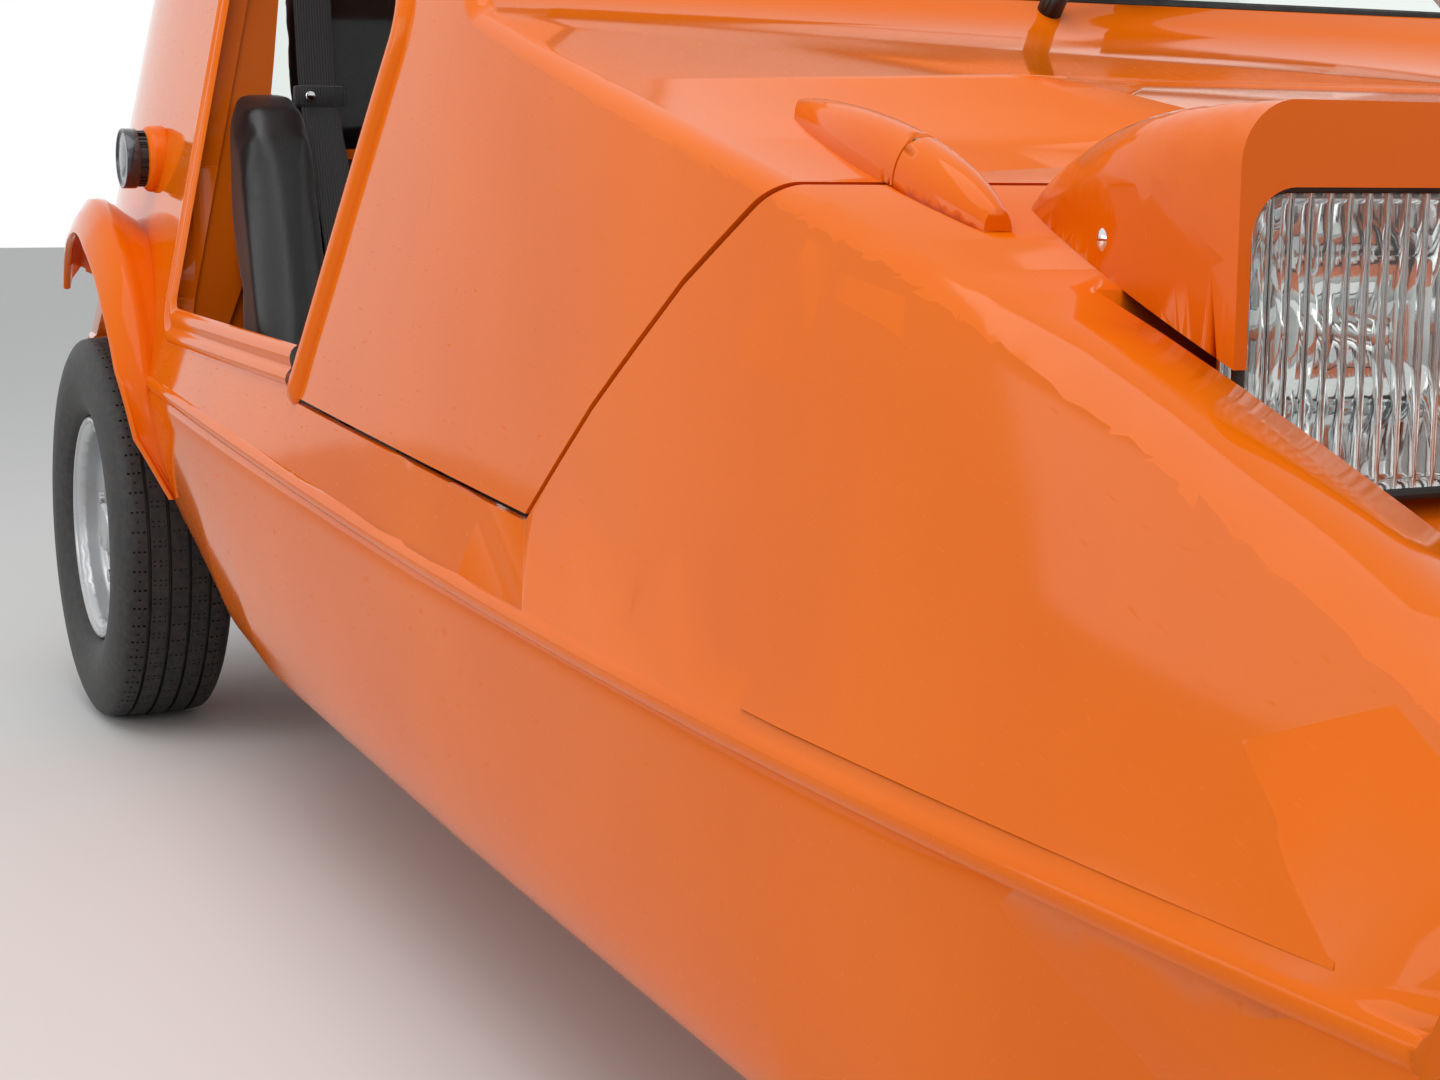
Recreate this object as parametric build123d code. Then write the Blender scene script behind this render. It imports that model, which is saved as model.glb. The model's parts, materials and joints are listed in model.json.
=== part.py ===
from build123d import *
import math
import os

# A three-wheeled microcar, in millimetres: +X forward, +Y to the left, +Z up, the origin on the ground
# at the middle of the length and width.

# Driving dimensions of the whole car
LENGTH = 2794
WIDTH = 1397
ROOF_Z = 1266
REAR_AXLE_X = -1000
WHEELBASE = 1956
FRONT_AXLE_X = REAR_AXLE_X + WHEELBASE
REAR_WHEEL_Y = 610
TYRE_R = 243
TYRE_W = 145
WHEEL_Z = TYRE_R

# Glass-fibre mouldings
SKIN = 6
SHUT_GAP = 5
SEAM_FRONT_X = 530
HOOP_X = -680
TUB_SIDE_Y = 470
SILL_RETURN = 30
CANOPY_SPLIT_X = 235

# Side profile: named heights and stations
STRIP_PROUD = 12
NOSE_X = LENGTH / 2 - STRIP_PROUD
TAIL_X = -1352
DECK_FRONT = (1362, 497)
NOSE_MID = (1376.2, 481.3)
DECK_KINK = (800, 686)
DECK_SLOPE = 0.247
SCREEN_BASE = (270, DECK_KINK[1] + DECK_SLOPE * (DECK_KINK[0] - 270))
SCREEN_TOP = (-235, 1230)
ROOF_FRONT_X = -370
ROOF_KINK_X = -625
ROOF_REAR = (-1215, 1172)
TAIL_MID = (-1335, 640)
BOOT_FLOOR_Z = 345

# Cross-sections of the shell, nose to tail. Columns: x, bottom y, bottom z, rib y, rib z, y at belt, y at top
BELT_Z = 820
TOP_Z = 1320
RIB_HALF = 9
RIB_PROUD = 6
CHINE_BULGE = 0.13
EDGE_R = 22
BULGE_DRAFT = 0.35
# Columns: x, half width of the flat top, rise above the deck
BULGE = ((450, 232, -1), (700, 196, 18), (800, 181, 19), (1000, 156, 20), (1150, 143, 16), (1300, 134, -1))
REAR_RAIL_X = -1300
NOSE_RAIL_Z = 488
SECTIONS = (
    (1410, 530, 190, 622, 373, 520, 392),
    (900, 552, 182, 655, 380, 563, 452),
    (300, 545, 172, 662, 398, 598, 482),
    (-300, 480, 192, 662, 432, 584, 474),
    (-700, 420, 215, 652, 453, 574, 462),
    (-1370, 380, 215, 592, 460, 512, 395),
)

# Side view outlines, x and z
DOOR = ((-80, 500), (90, 830), (-180, 1108), (-262, 1188), (-650, 1192), (-690, 900), (-668, 505))
DOOR_RADII = (10, 45, 40, 60, 60, 90, 55)
SHUT_LINE = ((802, 700), (700, 630), (600, 545), (515, 462), (-80, 492))


def shell_section(row, inset):
    """Closed cross-section of the shell at one station, drawn in by the inset."""
    x, y_bottom, z_bottom, y_rib, z_rib, y_belt, y_top = row
    y_rib, y_belt, y_top = y_rib - inset, y_belt - inset, y_top - inset
    y_bottom, z_bottom = y_bottom - inset / 2, z_bottom + inset
    proud = RIB_PROUD if inset == 0 else RIB_PROUD / 2
    low, high = (y_rib, z_rib - RIB_HALF), (y_rib, z_rib + RIB_HALF)
    chord = (low[0] - y_bottom, low[1] - z_bottom)
    middle = ((low[0] + y_bottom) / 2 + CHINE_BULGE * chord[1], (low[1] + z_bottom) / 2 - CHINE_BULGE * chord[0])
    with BuildSketch(Plane(origin=(x, 0, 0), x_dir=(0, 1, 0), z_dir=(1, 0, 0))) as sketch:
        with BuildLine():
            Line((0, z_bottom), (y_bottom, z_bottom))
            ThreePointArc((y_bottom, z_bottom), middle, low)
            ThreePointArc(low, (y_rib + proud, z_rib), high)
            ThreePointArc(high, (y_belt, BELT_Z), (y_top, TOP_Z))
            Line((y_top, TOP_Z), (0, TOP_Z))
            mirror(about=Plane.YZ)
        make_face()
    return sketch.sketch


def tunnel(inset):
    """The shell's cross-section carried from nose to tail."""
    return loft([shell_section(row, inset) for row in SECTIONS])


def side_face(inset):
    """Side profile of the shell, drawn in by the inset."""
    with BuildSketch(Plane.XZ) as sketch:
        with BuildLine():
            Line((NOSE_X, 400), (NOSE_X, 462))
            ThreePointArc((NOSE_X, 462), NOSE_MID, DECK_FRONT)
            TangentArc(DECK_KINK, DECK_FRONT, tangent=(1, -DECK_SLOPE))
            Polyline(DECK_KINK, SCREEN_BASE, SCREEN_TOP)
            TangentArc(SCREEN_TOP, (ROOF_FRONT_X, ROOF_Z), tangent=(SCREEN_TOP[0] - SCREEN_BASE[0],
                                                                     SCREEN_TOP[1] - SCREEN_BASE[1]))
            Polyline((ROOF_FRONT_X, ROOF_Z), (ROOF_KINK_X, ROOF_Z - 5), ROOF_REAR, TAIL_MID, (TAIL_X, 480),
                     (TAIL_X, BOOT_FLOOR_Z), (-700, BOOT_FLOOR_Z), (-680, 215), (-300, 194), (300, 174),
                     (900, 184), (1335, 192), (NOSE_X, 400))
        make_face()
    if inset == 0:
        return sketch.sketch
    return offset(sketch.sketch, -inset, kind=Kind.INTERSECTION)


def is_rail(edge):
    """True for the long edges where the deck, pillars and roof meet the sides."""
    middle = edge.position_at(0.5)
    along = abs(edge.tangent_at(0.5).Y) < 0.5 and edge.length > 30
    return along and middle.Z > NOSE_RAIL_Z and abs(middle.Y) > 380 and middle.X > REAR_RAIL_X


def bonnet_bulge(inset):
    """Raised panel along the middle of the deck, drawn in by the inset."""
    sections = []
    for x, half, rise in BULGE:
        low, high = deck_z(x) - 30, deck_z(x) + rise - inset
        flare = BULGE_DRAFT * (high - low) - inset
        with BuildSketch(Plane(origin=(x, 0, 0), x_dir=(0, 1, 0), z_dir=(1, 0, 0))) as sketch:
            with BuildLine():
                Polyline((-half - flare, low), (half + flare, low), (half - inset, high), (inset - half, high),
                         close=True)
            make_face()
        sections.append(sketch.sketch)
    return loft(sections)


def envelope(inset):
    """The car's closed outer form, drawn in by the inset, with its long edges rounded."""
    form = tunnel(inset) & extrude(side_face(inset), WIDTH, both=True)
    return fillet([edge for edge in form.edges() if is_rail(edge)], EDGE_R - inset) + bonnet_bulge(inset)


def side_prism(outline, radii, y_low, y_high, grow=0):
    """A side-view outline with rounded corners, carried across the car from y_low to y_high."""
    with BuildSketch(Plane.XZ.offset(-y_low)) as sketch:
        with BuildLine():
            FilletPolyline(*outline, radius=list(radii), close=True) if radii else Polyline(*outline, close=True)
        make_face()
    face = offset(sketch.sketch, grow) if grow else sketch.sketch
    return extrude(face, -(y_high - y_low))


def box(x_low, x_high, y_low, y_high, z_low, z_high):
    size = (x_high - x_low, y_high - y_low, z_high - z_low)
    centre = ((x_high + x_low) / 2, (y_high + y_low) / 2, (z_high + z_low) / 2)
    return Pos(*centre) * Box(*size)


def rod(start, end, radius):
    """A straight round bar between two points."""
    start, end = Vector(*start), Vector(*end)
    run = end - start
    return extrude(Plane(origin=start, z_dir=run.normalized()) * Circle(radius), run.length)


def both_sides(solid):
    return [solid, mirror(solid, about=Plane.XZ)]


def deck_z(x):
    """Height of the deck's outer face on the centre line."""
    if x <= DECK_KINK[0]:
        return DECK_KINK[1] + DECK_SLOPE * (DECK_KINK[0] - x)
    run, drop = DECK_FRONT[0] - DECK_KINK[0], DECK_KINK[1] - DECK_FRONT[1]
    start = math.atan(DECK_SLOPE)
    turn = math.atan2(drop, run) - start
    radius = math.hypot(run, drop) / 2 / math.sin(turn)
    centre = (DECK_KINK[0] - radius * math.sin(start), DECK_KINK[1] - radius * math.cos(start))
    return centre[1] + math.sqrt(radius ** 2 - (x - centre[0]) ** 2)


# Headlamps: cowl, scoop, bowl and lens
LAMP_Y = -380
LAMP_FACE_X = 1085
LAMP_W = 230
LAMP_H = 155
LAMP_Z = 611
LAMP_R = 26
LENS_T = 12
SCOOP_HALF = 132
SCOOP_FLOOR_Z = 525
SCOOP_BACK_X = 986
COWL_SKIN = 4
# Columns: x, outer y, inner y, bottom z, top z, corner radius
COWL = ((846, -462, -335, 640, 684, 12), (885, -474, -302, 615, 702, 20), (940, -487, -273, 590, 719, 26),
        (1010, -498, -259, 545, 729, 30), (1092, -503, -255, 522, 731, 32))


def scoop(grow):
    """The recess in the deck that a lamp looks out of."""
    outline = ((SCOOP_BACK_X - grow, SCOOP_FLOOR_Z - grow), (1440, 497 - grow), (1440, 760), (SCOOP_BACK_X - grow, 760))
    half = SCOOP_HALF + grow
    return side_prism(outline, None, LAMP_Y - half, LAMP_Y + half)


def rounded_section(x, y, z, width, height, radius):
    plane = Plane(origin=(x, y, z), x_dir=(0, 1, 0), z_dir=(1, 0, 0))
    return plane * RectangleRounded(width, height, radius)


def cowl(outer):
    """Hood over one headlamp, seated on the deck."""
    def hood(cut):
        rows = [rounded_section(x, (left + right) / 2, (low + high) / 2, left - right - 2 * cut,
                                high - low - 2 * cut, radius - cut)
                for x, right, left, low, high, radius in COWL]
        return loft(rows)
    front_x = COWL[-1][0]
    hollow = hood(COWL_SKIN) & x_slab(0, LAMP_FACE_X - LENS_T)
    aperture = extrude(rounded_section(front_x - 30, LAMP_Y, LAMP_Z, LAMP_W + 2 * SEAT_GAP, LAMP_H + 2 * SEAT_GAP,
                                       LAMP_R + SEAT_GAP), 50)
    return hood(0) - hollow - aperture - outer


def lamp_bowl():
    rim = rounded_section(LAMP_FACE_X - LENS_T, LAMP_Y, LAMP_Z, LAMP_W - 4, LAMP_H - 4, LAMP_R)
    back = rounded_section(LAMP_FACE_X - 90, LAMP_Y, LAMP_Z, 120, 80, 20)
    inner_rim = rounded_section(LAMP_FACE_X - LENS_T, LAMP_Y, LAMP_Z, LAMP_W - 10, LAMP_H - 10, LAMP_R - 3)
    inner_back = rounded_section(LAMP_FACE_X - 87, LAMP_Y, LAMP_Z, 112, 72, 16)
    flange = extrude(rounded_section(LAMP_FACE_X - LENS_T - 3, LAMP_Y, LAMP_Z, LAMP_W + 3, LAMP_H + 3, LAMP_R + 3), 3)
    bulb = rod((LAMP_FACE_X - 90, LAMP_Y, LAMP_Z), (LAMP_FACE_X - 45, LAMP_Y, LAMP_Z), 9)
    return loft([back, rim]) + flange - loft([inner_back, inner_rim]) + bulb


def lamp_lens():
    face = rounded_section(LAMP_FACE_X - LENS_T, LAMP_Y, LAMP_Z, LAMP_W, LAMP_H, LAMP_R)
    return fillet(extrude(face, LENS_T).faces().sort_by(Axis.X)[-1].edges(), 5)


# Hinge fairings on the deck
HINGE_X = 800
HINGE_Z = 711
HINGE_Y = 507
HINGE_PIN_R = 4
HINGE_PIN_HALF = 7
HINGE_HEEL_R = 23.4
FAIRING_REAR = (622, 498)
FAIRING_FRONT = (890, 512)
FAIRING_HEIGHT = 31
FAIRING_HALF_W = 22
# Share of the length, share of the half width, share of the height
FAIRING = ((0.0, 0.2, 0.4), (0.12, 0.5, 0.64), (0.3, 0.82, 0.86), (0.62, 1.0, 1.0), (0.8, 0.88, 0.9),
           (0.92, 0.66, 0.7), (1.0, 0.42, 0.42))


def fairing():
    """A long canoe lying on the deck, whole."""
    rows = []
    for share, width, height in FAIRING:
        x = FAIRING_REAR[0] + share * (FAIRING_FRONT[0] - FAIRING_REAR[0])
        y = -(FAIRING_REAR[1] + share * (FAIRING_FRONT[1] - FAIRING_REAR[1]))
        plane = Plane(origin=(x, y, deck_z(x)), x_dir=(0, 1, 0), z_dir=(1, 0, 0))
        rows.append(plane * Ellipse(FAIRING_HALF_W * width, FAIRING_HEIGHT * height))
    return loft(rows)


def make_shell():
    outer = envelope(0)
    inner = envelope(SKIN)
    scoops = both_sides(scoop(0))
    liners = both_sides(scoop(SKIN))
    shell = outer - (inner - liners) - scoops
    door = side_prism(DOOR, DOOR_RADII, -WIDTH, WIDTH)
    returns = side_prism(DOOR, DOOR_RADII, -WIDTH, WIDTH, grow=SKIN) & outer
    returns = returns - tunnel(SILL_RETURN)
    shell = shell + returns - door
    return outer, inner, shell


def canopy_outline():
    return SHUT_LINE + ((-300, 600), (HOOP_X + SHUT_GAP, 700), (HOOP_X + SHUT_GAP, 1400), (802, 1400))


# Openings in the shell
WHEEL_ARCH_R = 335
ARCH_WALL_Y = 486
FRONT_WELL = (655, 1300, 290)
SCREEN_HALF_BASE = 508
SCREEN_HALF_TOP = 428
SCREEN_MARGIN = 52
GLASS = 5


def screen_plane():
    run = Vector(SCREEN_TOP[0] - SCREEN_BASE[0], 0, SCREEN_TOP[1] - SCREEN_BASE[1])
    middle = Vector((SCREEN_TOP[0] + SCREEN_BASE[0]) / 2, 0, (SCREEN_TOP[1] + SCREEN_BASE[1]) / 2)
    return Plane(origin=middle, x_dir=(0, 1, 0), z_dir=Vector(0, 1, 0).cross(run).normalized()), run.length


def screen_face(grow):
    """Windscreen outline on the windscreen's own plane."""
    plane, length = screen_plane()
    half = length / 2 - SCREEN_MARGIN
    points = ((-SCREEN_HALF_BASE, -half), (SCREEN_HALF_BASE, -half), (SCREEN_HALF_TOP, half), (-SCREEN_HALF_TOP, half))
    with BuildSketch(plane) as sketch:
        with BuildLine():
            FilletPolyline(*points, radius=45, close=True)
        make_face()
    return offset(sketch.sketch, grow) if grow else sketch.sketch


REAR_WINDOW = (360, 790, 1085)
TAIL_PANEL = (430, 425, 650)


def tail_plane(z_low, z_high):
    """Plane on the sloped upper tail, centred between two heights."""
    run = Vector(ROOF_REAR[0] - TAIL_MID[0], 0, ROOF_REAR[1] - TAIL_MID[1])
    share = ((z_low + z_high) / 2 - TAIL_MID[1]) / (ROOF_REAR[1] - TAIL_MID[1])
    middle = Vector(TAIL_MID[0], 0, TAIL_MID[1]) + run * share
    return Plane(origin=middle, x_dir=(0, 1, 0), z_dir=run.cross(Vector(0, 1, 0)).normalized())


def rear_glass_face(grow):
    half, low, high = REAR_WINDOW
    return tail_plane(low, high) * RectangleRounded(2 * half + 2 * grow, high - low + 2 * grow, 40 + grow)


def cut_openings(shell):
    screen = extrude(screen_face(0), 30, both=True)
    window = extrude(rear_glass_face(0), 30, both=True)
    half, low, high = TAIL_PANEL
    lamp_panel = box(TAIL_X - 20, TAIL_X + 40, -half, half, low, high)
    well = box(FRONT_WELL[0], FRONT_WELL[1], -FRONT_WELL[2], FRONT_WELL[2], 100, 300)
    shaft = rod((HOOP_X - 60, 0, 262), (HOOP_X + 60, 0, 262), 55)
    arches = [Pos(REAR_AXLE_X, side * 700, WHEEL_Z) * Rot(90, 0, 0) * Cylinder(WHEEL_ARCH_R, 700 * 2 - 2 * ARCH_WALL_Y)
              for side in (-1, 1)]
    return shell - screen - window - lamp_panel - well - shaft - arches


def wheel_houses(inner):
    """Walls that close the rear wheel arches inside the shell."""
    houses = []
    for side in (-1, 1):
        house = Pos(REAR_AXLE_X, side * 700, WHEEL_Z) * Rot(90, 0, 0) * Cylinder(WHEEL_ARCH_R + SKIN,
                                                                              1400 - 2 * (ARCH_WALL_Y - SKIN))
        well = Pos(REAR_AXLE_X, side * 700, WHEEL_Z) * Rot(90, 0, 0) * Cylinder(WHEEL_ARCH_R, 1400 - 2 * ARCH_WALL_Y)
        houses.append((house & inner) - well)
    return houses


def x_slab(x_low, x_high):
    return box(x_low, x_high, -WIDTH, WIDTH, -100, 1500)


parts = {}


def build_shells():
    outer, inner, shell = make_shell()
    canopy_zone = side_prism(canopy_outline(), None, -WIDTH, WIDTH)
    body_zone = side_prism(canopy_outline(), None, -WIDTH, WIDTH, grow=SHUT_GAP)
    cut = cut_openings(shell)
    canopy = cut & canopy_zone
    body = cut - body_zone
    parts["canopy_front_shell"] = canopy & x_slab(CANOPY_SPLIT_X, 2000)
    parts["canopy_roof_shell"] = canopy & x_slab(-2000, CANOPY_SPLIT_X)
    nose = body & x_slab(SEAM_FRONT_X, 2000) & box(0, 2000, -WIDTH, 0, 0, 2000)
    parts["nose_moulding"] = nose + mirror(nose, about=Plane.XZ)
    rear = body & x_slab(-2000, HOOP_X)
    parts["rear_moulding"] = rear + wheel_houses(inner & x_slab(-2000, HOOP_X))
    middle = body & x_slab(HOOP_X, SEAM_FRONT_X)
    parts["floor_tub"] = middle & box(-2000, 2000, -TUB_SIDE_Y, TUB_SIDE_Y, 0, 480)
    parts["sill_left"] = middle & box(-2000, 2000, TUB_SIDE_Y, WIDTH, 0, 1500)
    parts["sill_right"] = middle & box(-2000, 2000, -WIDTH, -TUB_SIDE_Y, 0, 1500)
    return outer, inner


# Wheels
RIM_R = 140
BEAD_R = 127
RIM_W = 112
BEAD_Y = 47
STUB_R = 18
STUB_REACH = 38
RUN_FIT = 0.05
SEAT_GAP = 0.3
DRUM_R = 92
DRUM_W = 40
VENTS = 8
GROOVES_Y = (-36, -12, 12, 36)
GROOVE_W = 3.5
GROOVE_DEPTH = 6


def tyre():
    """Tyre about the Y axis at the origin, with its circumferential grooves."""
    half = TYRE_W / 2
    bead, shoulder = BEAD_Y - 1, half - 11
    tread = shoulder - 12
    with BuildSketch(Plane.XY) as sketch:
        with BuildLine():
            Polyline((RIM_R + 1, bead + 4), (BEAD_R, bead), (BEAD_R, -bead), (RIM_R + 1, -bead - 4))
            ThreePointArc((RIM_R + 1, -bead - 4), (190, -half), (TYRE_R - 11, -shoulder))
            ThreePointArc((TYRE_R - 11, -shoulder), (TYRE_R - 5, 5 - shoulder), (TYRE_R - 2, -tread))
            Polyline((TYRE_R - 2, -tread), (TYRE_R, -20), (TYRE_R, 20), (TYRE_R - 2, tread))
            ThreePointArc((TYRE_R - 2, tread), (TYRE_R - 5, shoulder - 5), (TYRE_R - 11, shoulder))
            ThreePointArc((TYRE_R - 11, shoulder), (190, half), (RIM_R + 1, bead + 4))
        make_face()
        with Locations(*[(TYRE_R, y) for y in GROOVES_Y]):
            Rectangle(2 * GROOVE_DEPTH, GROOVE_W, mode=Mode.SUBTRACT)
    return revolve(sketch.sketch, Axis.Y)


def rim(out):
    """Pressed wheel with its drum and closed hub, about the Y axis; out is the side that faces outwards."""
    half, wall = RIM_W / 2, 4
    well, barrel = BEAD_R - 19, BEAD_R - 4
    reach, bore = STUB_REACH + 2.5, STUB_R + RUN_FIT
    band_out = ((RIM_R, -half), (RIM_R, 5 - half), (BEAD_R, -BEAD_Y), (BEAD_R, -20), (well, -12), (well, 12),
                (BEAD_R, 20), (BEAD_R, BEAD_Y), (RIM_R, half - 5), (RIM_R, half))
    disc_out = ((barrel - 1, half - 6), (barrel, 22), (well - wall, 14), (94, 21), (84, 24), (64, 30), (46, 22),
                (34, 22), (30, reach + 4), (0, reach + 6))
    hub_in = ((0, reach), (bore, reach), (bore, -DRUM_W), (DRUM_R, -DRUM_W), (DRUM_R, -4), (46, -4), (46, 14))
    disc_in = ((62, 22), (82, 17), (94, 12), (well - wall, 4), (well - wall, -14), (barrel, -22),
               (barrel - 1, 6 - half))
    profile = make_face(Polyline(*band_out, *disc_out, *hub_in, *disc_in, close=True))
    wheel = revolve(profile, Axis.Y)
    holes = [Rot(0, (number + 0.5) * 360 / VENTS, 0) * Pos(74, 20, 0) * Rot(90, 0, 0) * Cylinder(8, 30)
             for number in range(VENTS)]
    wheel -= holes
    return wheel if out > 0 else mirror(wheel, about=Plane.XZ)


# Mudguards over the rear wheels
GUARD_WALL = 5
# Columns: angle up from straight ahead, how far out the lip is, crown radius, lip radius
GUARD = ((12, 660, 386, 346), (34, 682, 402, 348), (58, 697.6, 405, 350), (84, 692, 405, 350),
         (108, 674, 405, 349), (130, 656, 400, 347))


def guard_section(angle, edge, crown, lip):
    """Section of the mudguard: crown, crease, sloping face and rolled lip; the radii are from the wheel's axis."""
    wall = GUARD_WALL
    outline = ((crown - 8, -520), (crown, 28 - edge), (crown - 14, 8 - edge), (lip, -edge),
               (lip, wall + 6 - edge), (lip + 6, wall + 6 - edge), (lip + 6, wall - edge),
               (crown - 18, wall + 8 - edge), (crown - 6, 32 - edge), (crown - 8 - wall, -520))
    plane = Pos(REAR_AXLE_X, 0, WHEEL_Z) * Rot(0, -angle, 0) * Plane.XY
    return plane * make_face(Polyline(*outline, close=True))


def mudguard(outer):
    """Flared eyebrow over the right rear wheel, tapering into the body at both ends."""
    return loft([guard_section(*row) for row in GUARD]) - outer


# Chassis
RAIL_Y = 250
RAIL_W = 40
RAIL_Z = 118
RAIL_H = 46
RAIL_FRONT_X = 1290
TOWER_Y = 236
TOWER_TOP_Z = 588
TOWER_BAR = 36
KING_R = 18
HEAD_R = 30
HEAD_LOW_Z = 522
TOW_BORE_R = 12.5
CROSS_X = (-600, 0, 600, 1270)


def chassis_rail():
    """Right-hand chassis rail, kicked up over the rear axle."""
    top = RAIL_Z + RAIL_H
    outline = ((RAIL_FRONT_X, RAIL_Z), (-650, RAIL_Z), (-810, 294), (-1325, 294), (-1325, 338), (-830, 338),
               (-668, top), (RAIL_FRONT_X, top))
    return side_prism(outline, None, -RAIL_Y - RAIL_W / 2, RAIL_W / 2 - RAIL_Y)


def cross_member(x, low, high):
    half = RAIL_Y - RAIL_W / 2
    return box(x - 20, x + 20, -half, half, low, high)


def cross_members():
    """Four cross members under the floor; the front one carries the towing eye."""
    top = RAIL_Z + RAIL_H
    members = [cross_member(x, RAIL_Z, top) for x in CROSS_X]
    eye = box(CROSS_X[-1], CROSS_X[-1] + 70, -6, 6, RAIL_Z, top)
    eye -= Pos(CROSS_X[-1] + 46, 0, RAIL_Z + RAIL_H / 2) * Rot(90, 0, 0) * Cylinder(TOW_BORE_R, 40)
    members[-1] += eye
    return members + [cross_member(-1300, 300, 338)]


def steering_tower():
    """Arch over the front wheel that carries the kingpin."""
    foot, half = RAIL_Z + RAIL_H, TOWER_BAR / 2
    x = FRONT_AXLE_X
    tower = box(x - half, x + half, -TOWER_Y - half, TOWER_Y + half, TOWER_TOP_Z - TOWER_BAR, TOWER_TOP_Z)
    for side in (-1, 1):
        y = side * TOWER_Y
        tower += box(x - half, x + half, y - half, y + half, foot, TOWER_TOP_Z)
    tower += Pos(x, 0, (HEAD_LOW_Z + TOWER_TOP_Z) / 2) * Cylinder(HEAD_R, TOWER_TOP_Z - HEAD_LOW_Z)
    return tower - Pos(x, 0, 550) * Cylinder(KING_R + RUN_FIT, 200)


LEG_Y = 118


def swivel_leg():
    """Kingpin, crown and one-sided leg with the stub axle of the front wheel."""
    x = FRONT_AXLE_X
    crown_top = HEAD_LOW_Z - SEAT_GAP
    crown_low = crown_top - 24
    pin = rod((x, 0, crown_low), (x, 0, TOWER_TOP_Z + SEAT_GAP + 10), KING_R)
    cap = Pos(x, 0, TOWER_TOP_Z + SEAT_GAP + 5) * Cylinder(HEAD_R, 10)
    crown = box(x - 26, x + 26, -30, LEG_Y + 14, crown_low, crown_top)
    leg = box(x - 26, x + 26, LEG_Y - 14, LEG_Y + 14, WHEEL_Z - 34, crown_low)
    stub = rod((x, LEG_Y, WHEEL_Z), (x, -STUB_REACH, WHEEL_Z), STUB_R)
    shoulder = rod((x, LEG_Y, WHEEL_Z), (x, DRUM_W + SEAT_GAP, WHEEL_Z), AXLE_R)
    return pin + cap + crown + leg + stub + shoulder


AXLE_R = 30
DIFF_R = 78
SHAFT_R = 22
DIFF_Z = 250


def rear_axle():
    inner_y = REAR_WHEEL_Y - DRUM_W - SEAT_GAP
    axle = rod((REAR_AXLE_X, -inner_y, WHEEL_Z), (REAR_AXLE_X, inner_y, WHEEL_Z), AXLE_R)
    stub_y = REAR_WHEEL_Y + STUB_REACH
    axle += rod((REAR_AXLE_X, -stub_y, WHEEL_Z), (REAR_AXLE_X, stub_y, WHEEL_Z), STUB_R)
    axle += rod((REAR_AXLE_X, -52, WHEEL_Z), (REAR_AXLE_X, 52, WHEEL_Z), DIFF_R)
    return axle + rod((REAR_AXLE_X, 0, WHEEL_Z), (REAR_AXLE_X + 130, 0, WHEEL_Z + 6), 34)


ARM_Y = 300


def trailing_arms():
    """Two links from the rails to the axle; each eye fits round the axle."""
    arms = []
    for side in (-1, 1):
        y = side * ARM_Y
        arm = box(REAR_AXLE_X, -690, y - 14, y + 14, 196, 232)
        arm += Pos(REAR_AXLE_X, y, WHEEL_Z) * Rot(90, 0, 0) * Cylinder(AXLE_R + 14, 28)
        arm += rod((-700, side * (RAIL_Y + RAIL_W / 2), 214), (-700, side * (ARM_Y + 18), 214), 12)
        arms.append(arm - Pos(REAR_AXLE_X, y, WHEEL_Z) * Rot(90, 0, 0) * Cylinder(AXLE_R, 40))
    return arms


SPRING_Y = 400
SPRING_R = 34
WIRE_R = 6
COILS = 6


def rear_springs():
    """Short coil-over units between the axle and the boot floor."""
    units = []
    low, high = WHEEL_Z + AXLE_R, BOOT_FLOOR_Z
    for side in (-1, 1):
        unit = rod((REAR_AXLE_X, side * SPRING_Y, low - 8), (REAR_AXLE_X, side * SPRING_Y, high), 16)
        for number in range(COILS):
            z = low + 8 + (high - low - 14) * number / (COILS - 1)
            unit += Pos(REAR_AXLE_X, side * SPRING_Y, z) * Torus(SPRING_R, WIRE_R)
        unit += Pos(REAR_AXLE_X, side * SPRING_Y, high - 3) * Cylinder(42, 6)
        unit += Pos(REAR_AXLE_X, side * SPRING_Y, low + 4) * Cylinder(42, 6)
        units.append(unit - rod((REAR_AXLE_X, -600, WHEEL_Z), (REAR_AXLE_X, 600, WHEEL_Z), AXLE_R))
    return units


# Engine bay and cabin fittings
ENGINE = (270, 640, 140, 520)
COVER = (200, 650, 170, 600)
TUNNEL = (-676, 200, 108, 372)
GEARBOX = (-90, 270, 80, 350)
COVER_WALL = 5
UNDER_FLOOR_Z = 100


def block(size, inner):
    """A plain block standing on the floor."""
    x_low, x_high, half, top = size
    return box(x_low, x_high, -half, half, UNDER_FLOOR_Z, top) & inner


def hollow_cover(size, inner, front_wall):
    """Rounded cover open underneath, standing on the floor."""
    x_low, x_high, half, top = size

    def body(cut, x_from, x_to):
        points = ((-half + cut, 0), (-half + cut, top - cut), (half - cut, top - cut), (half - cut, 0))
        with BuildSketch(Plane.YZ.offset(x_from)) as sketch:
            with BuildLine():
                FilletPolyline(*points, radius=[0.1, 30 - cut, 30 - cut, 0.1], close=True)
            make_face()
        return extrude(sketch.sketch, x_to - x_from)
    shell = body(0, x_low, x_high) - body(COVER_WALL, x_low - 5, x_high - front_wall)
    return shell & inner


def exhaust():
    can = rod((-1210, -290, 218), (-1210, 170, 218), 52)
    pipe_z = RAIL_Z - 17 - SEAT_GAP
    pipe = rod((-1150, 140, pipe_z), (640, 140, pipe_z), 17)
    riser = rod((-1150, 140, pipe_z), (-1205, 140, 200), 17)
    tail = rod((-1210, -200, 200), (-1385, -200, 150), 17)
    hanger = rod((-1210, -RAIL_Y, 230), (-1210, -RAIL_Y, 294), 8)
    return can + pipe + riser + tail + hanger


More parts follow.
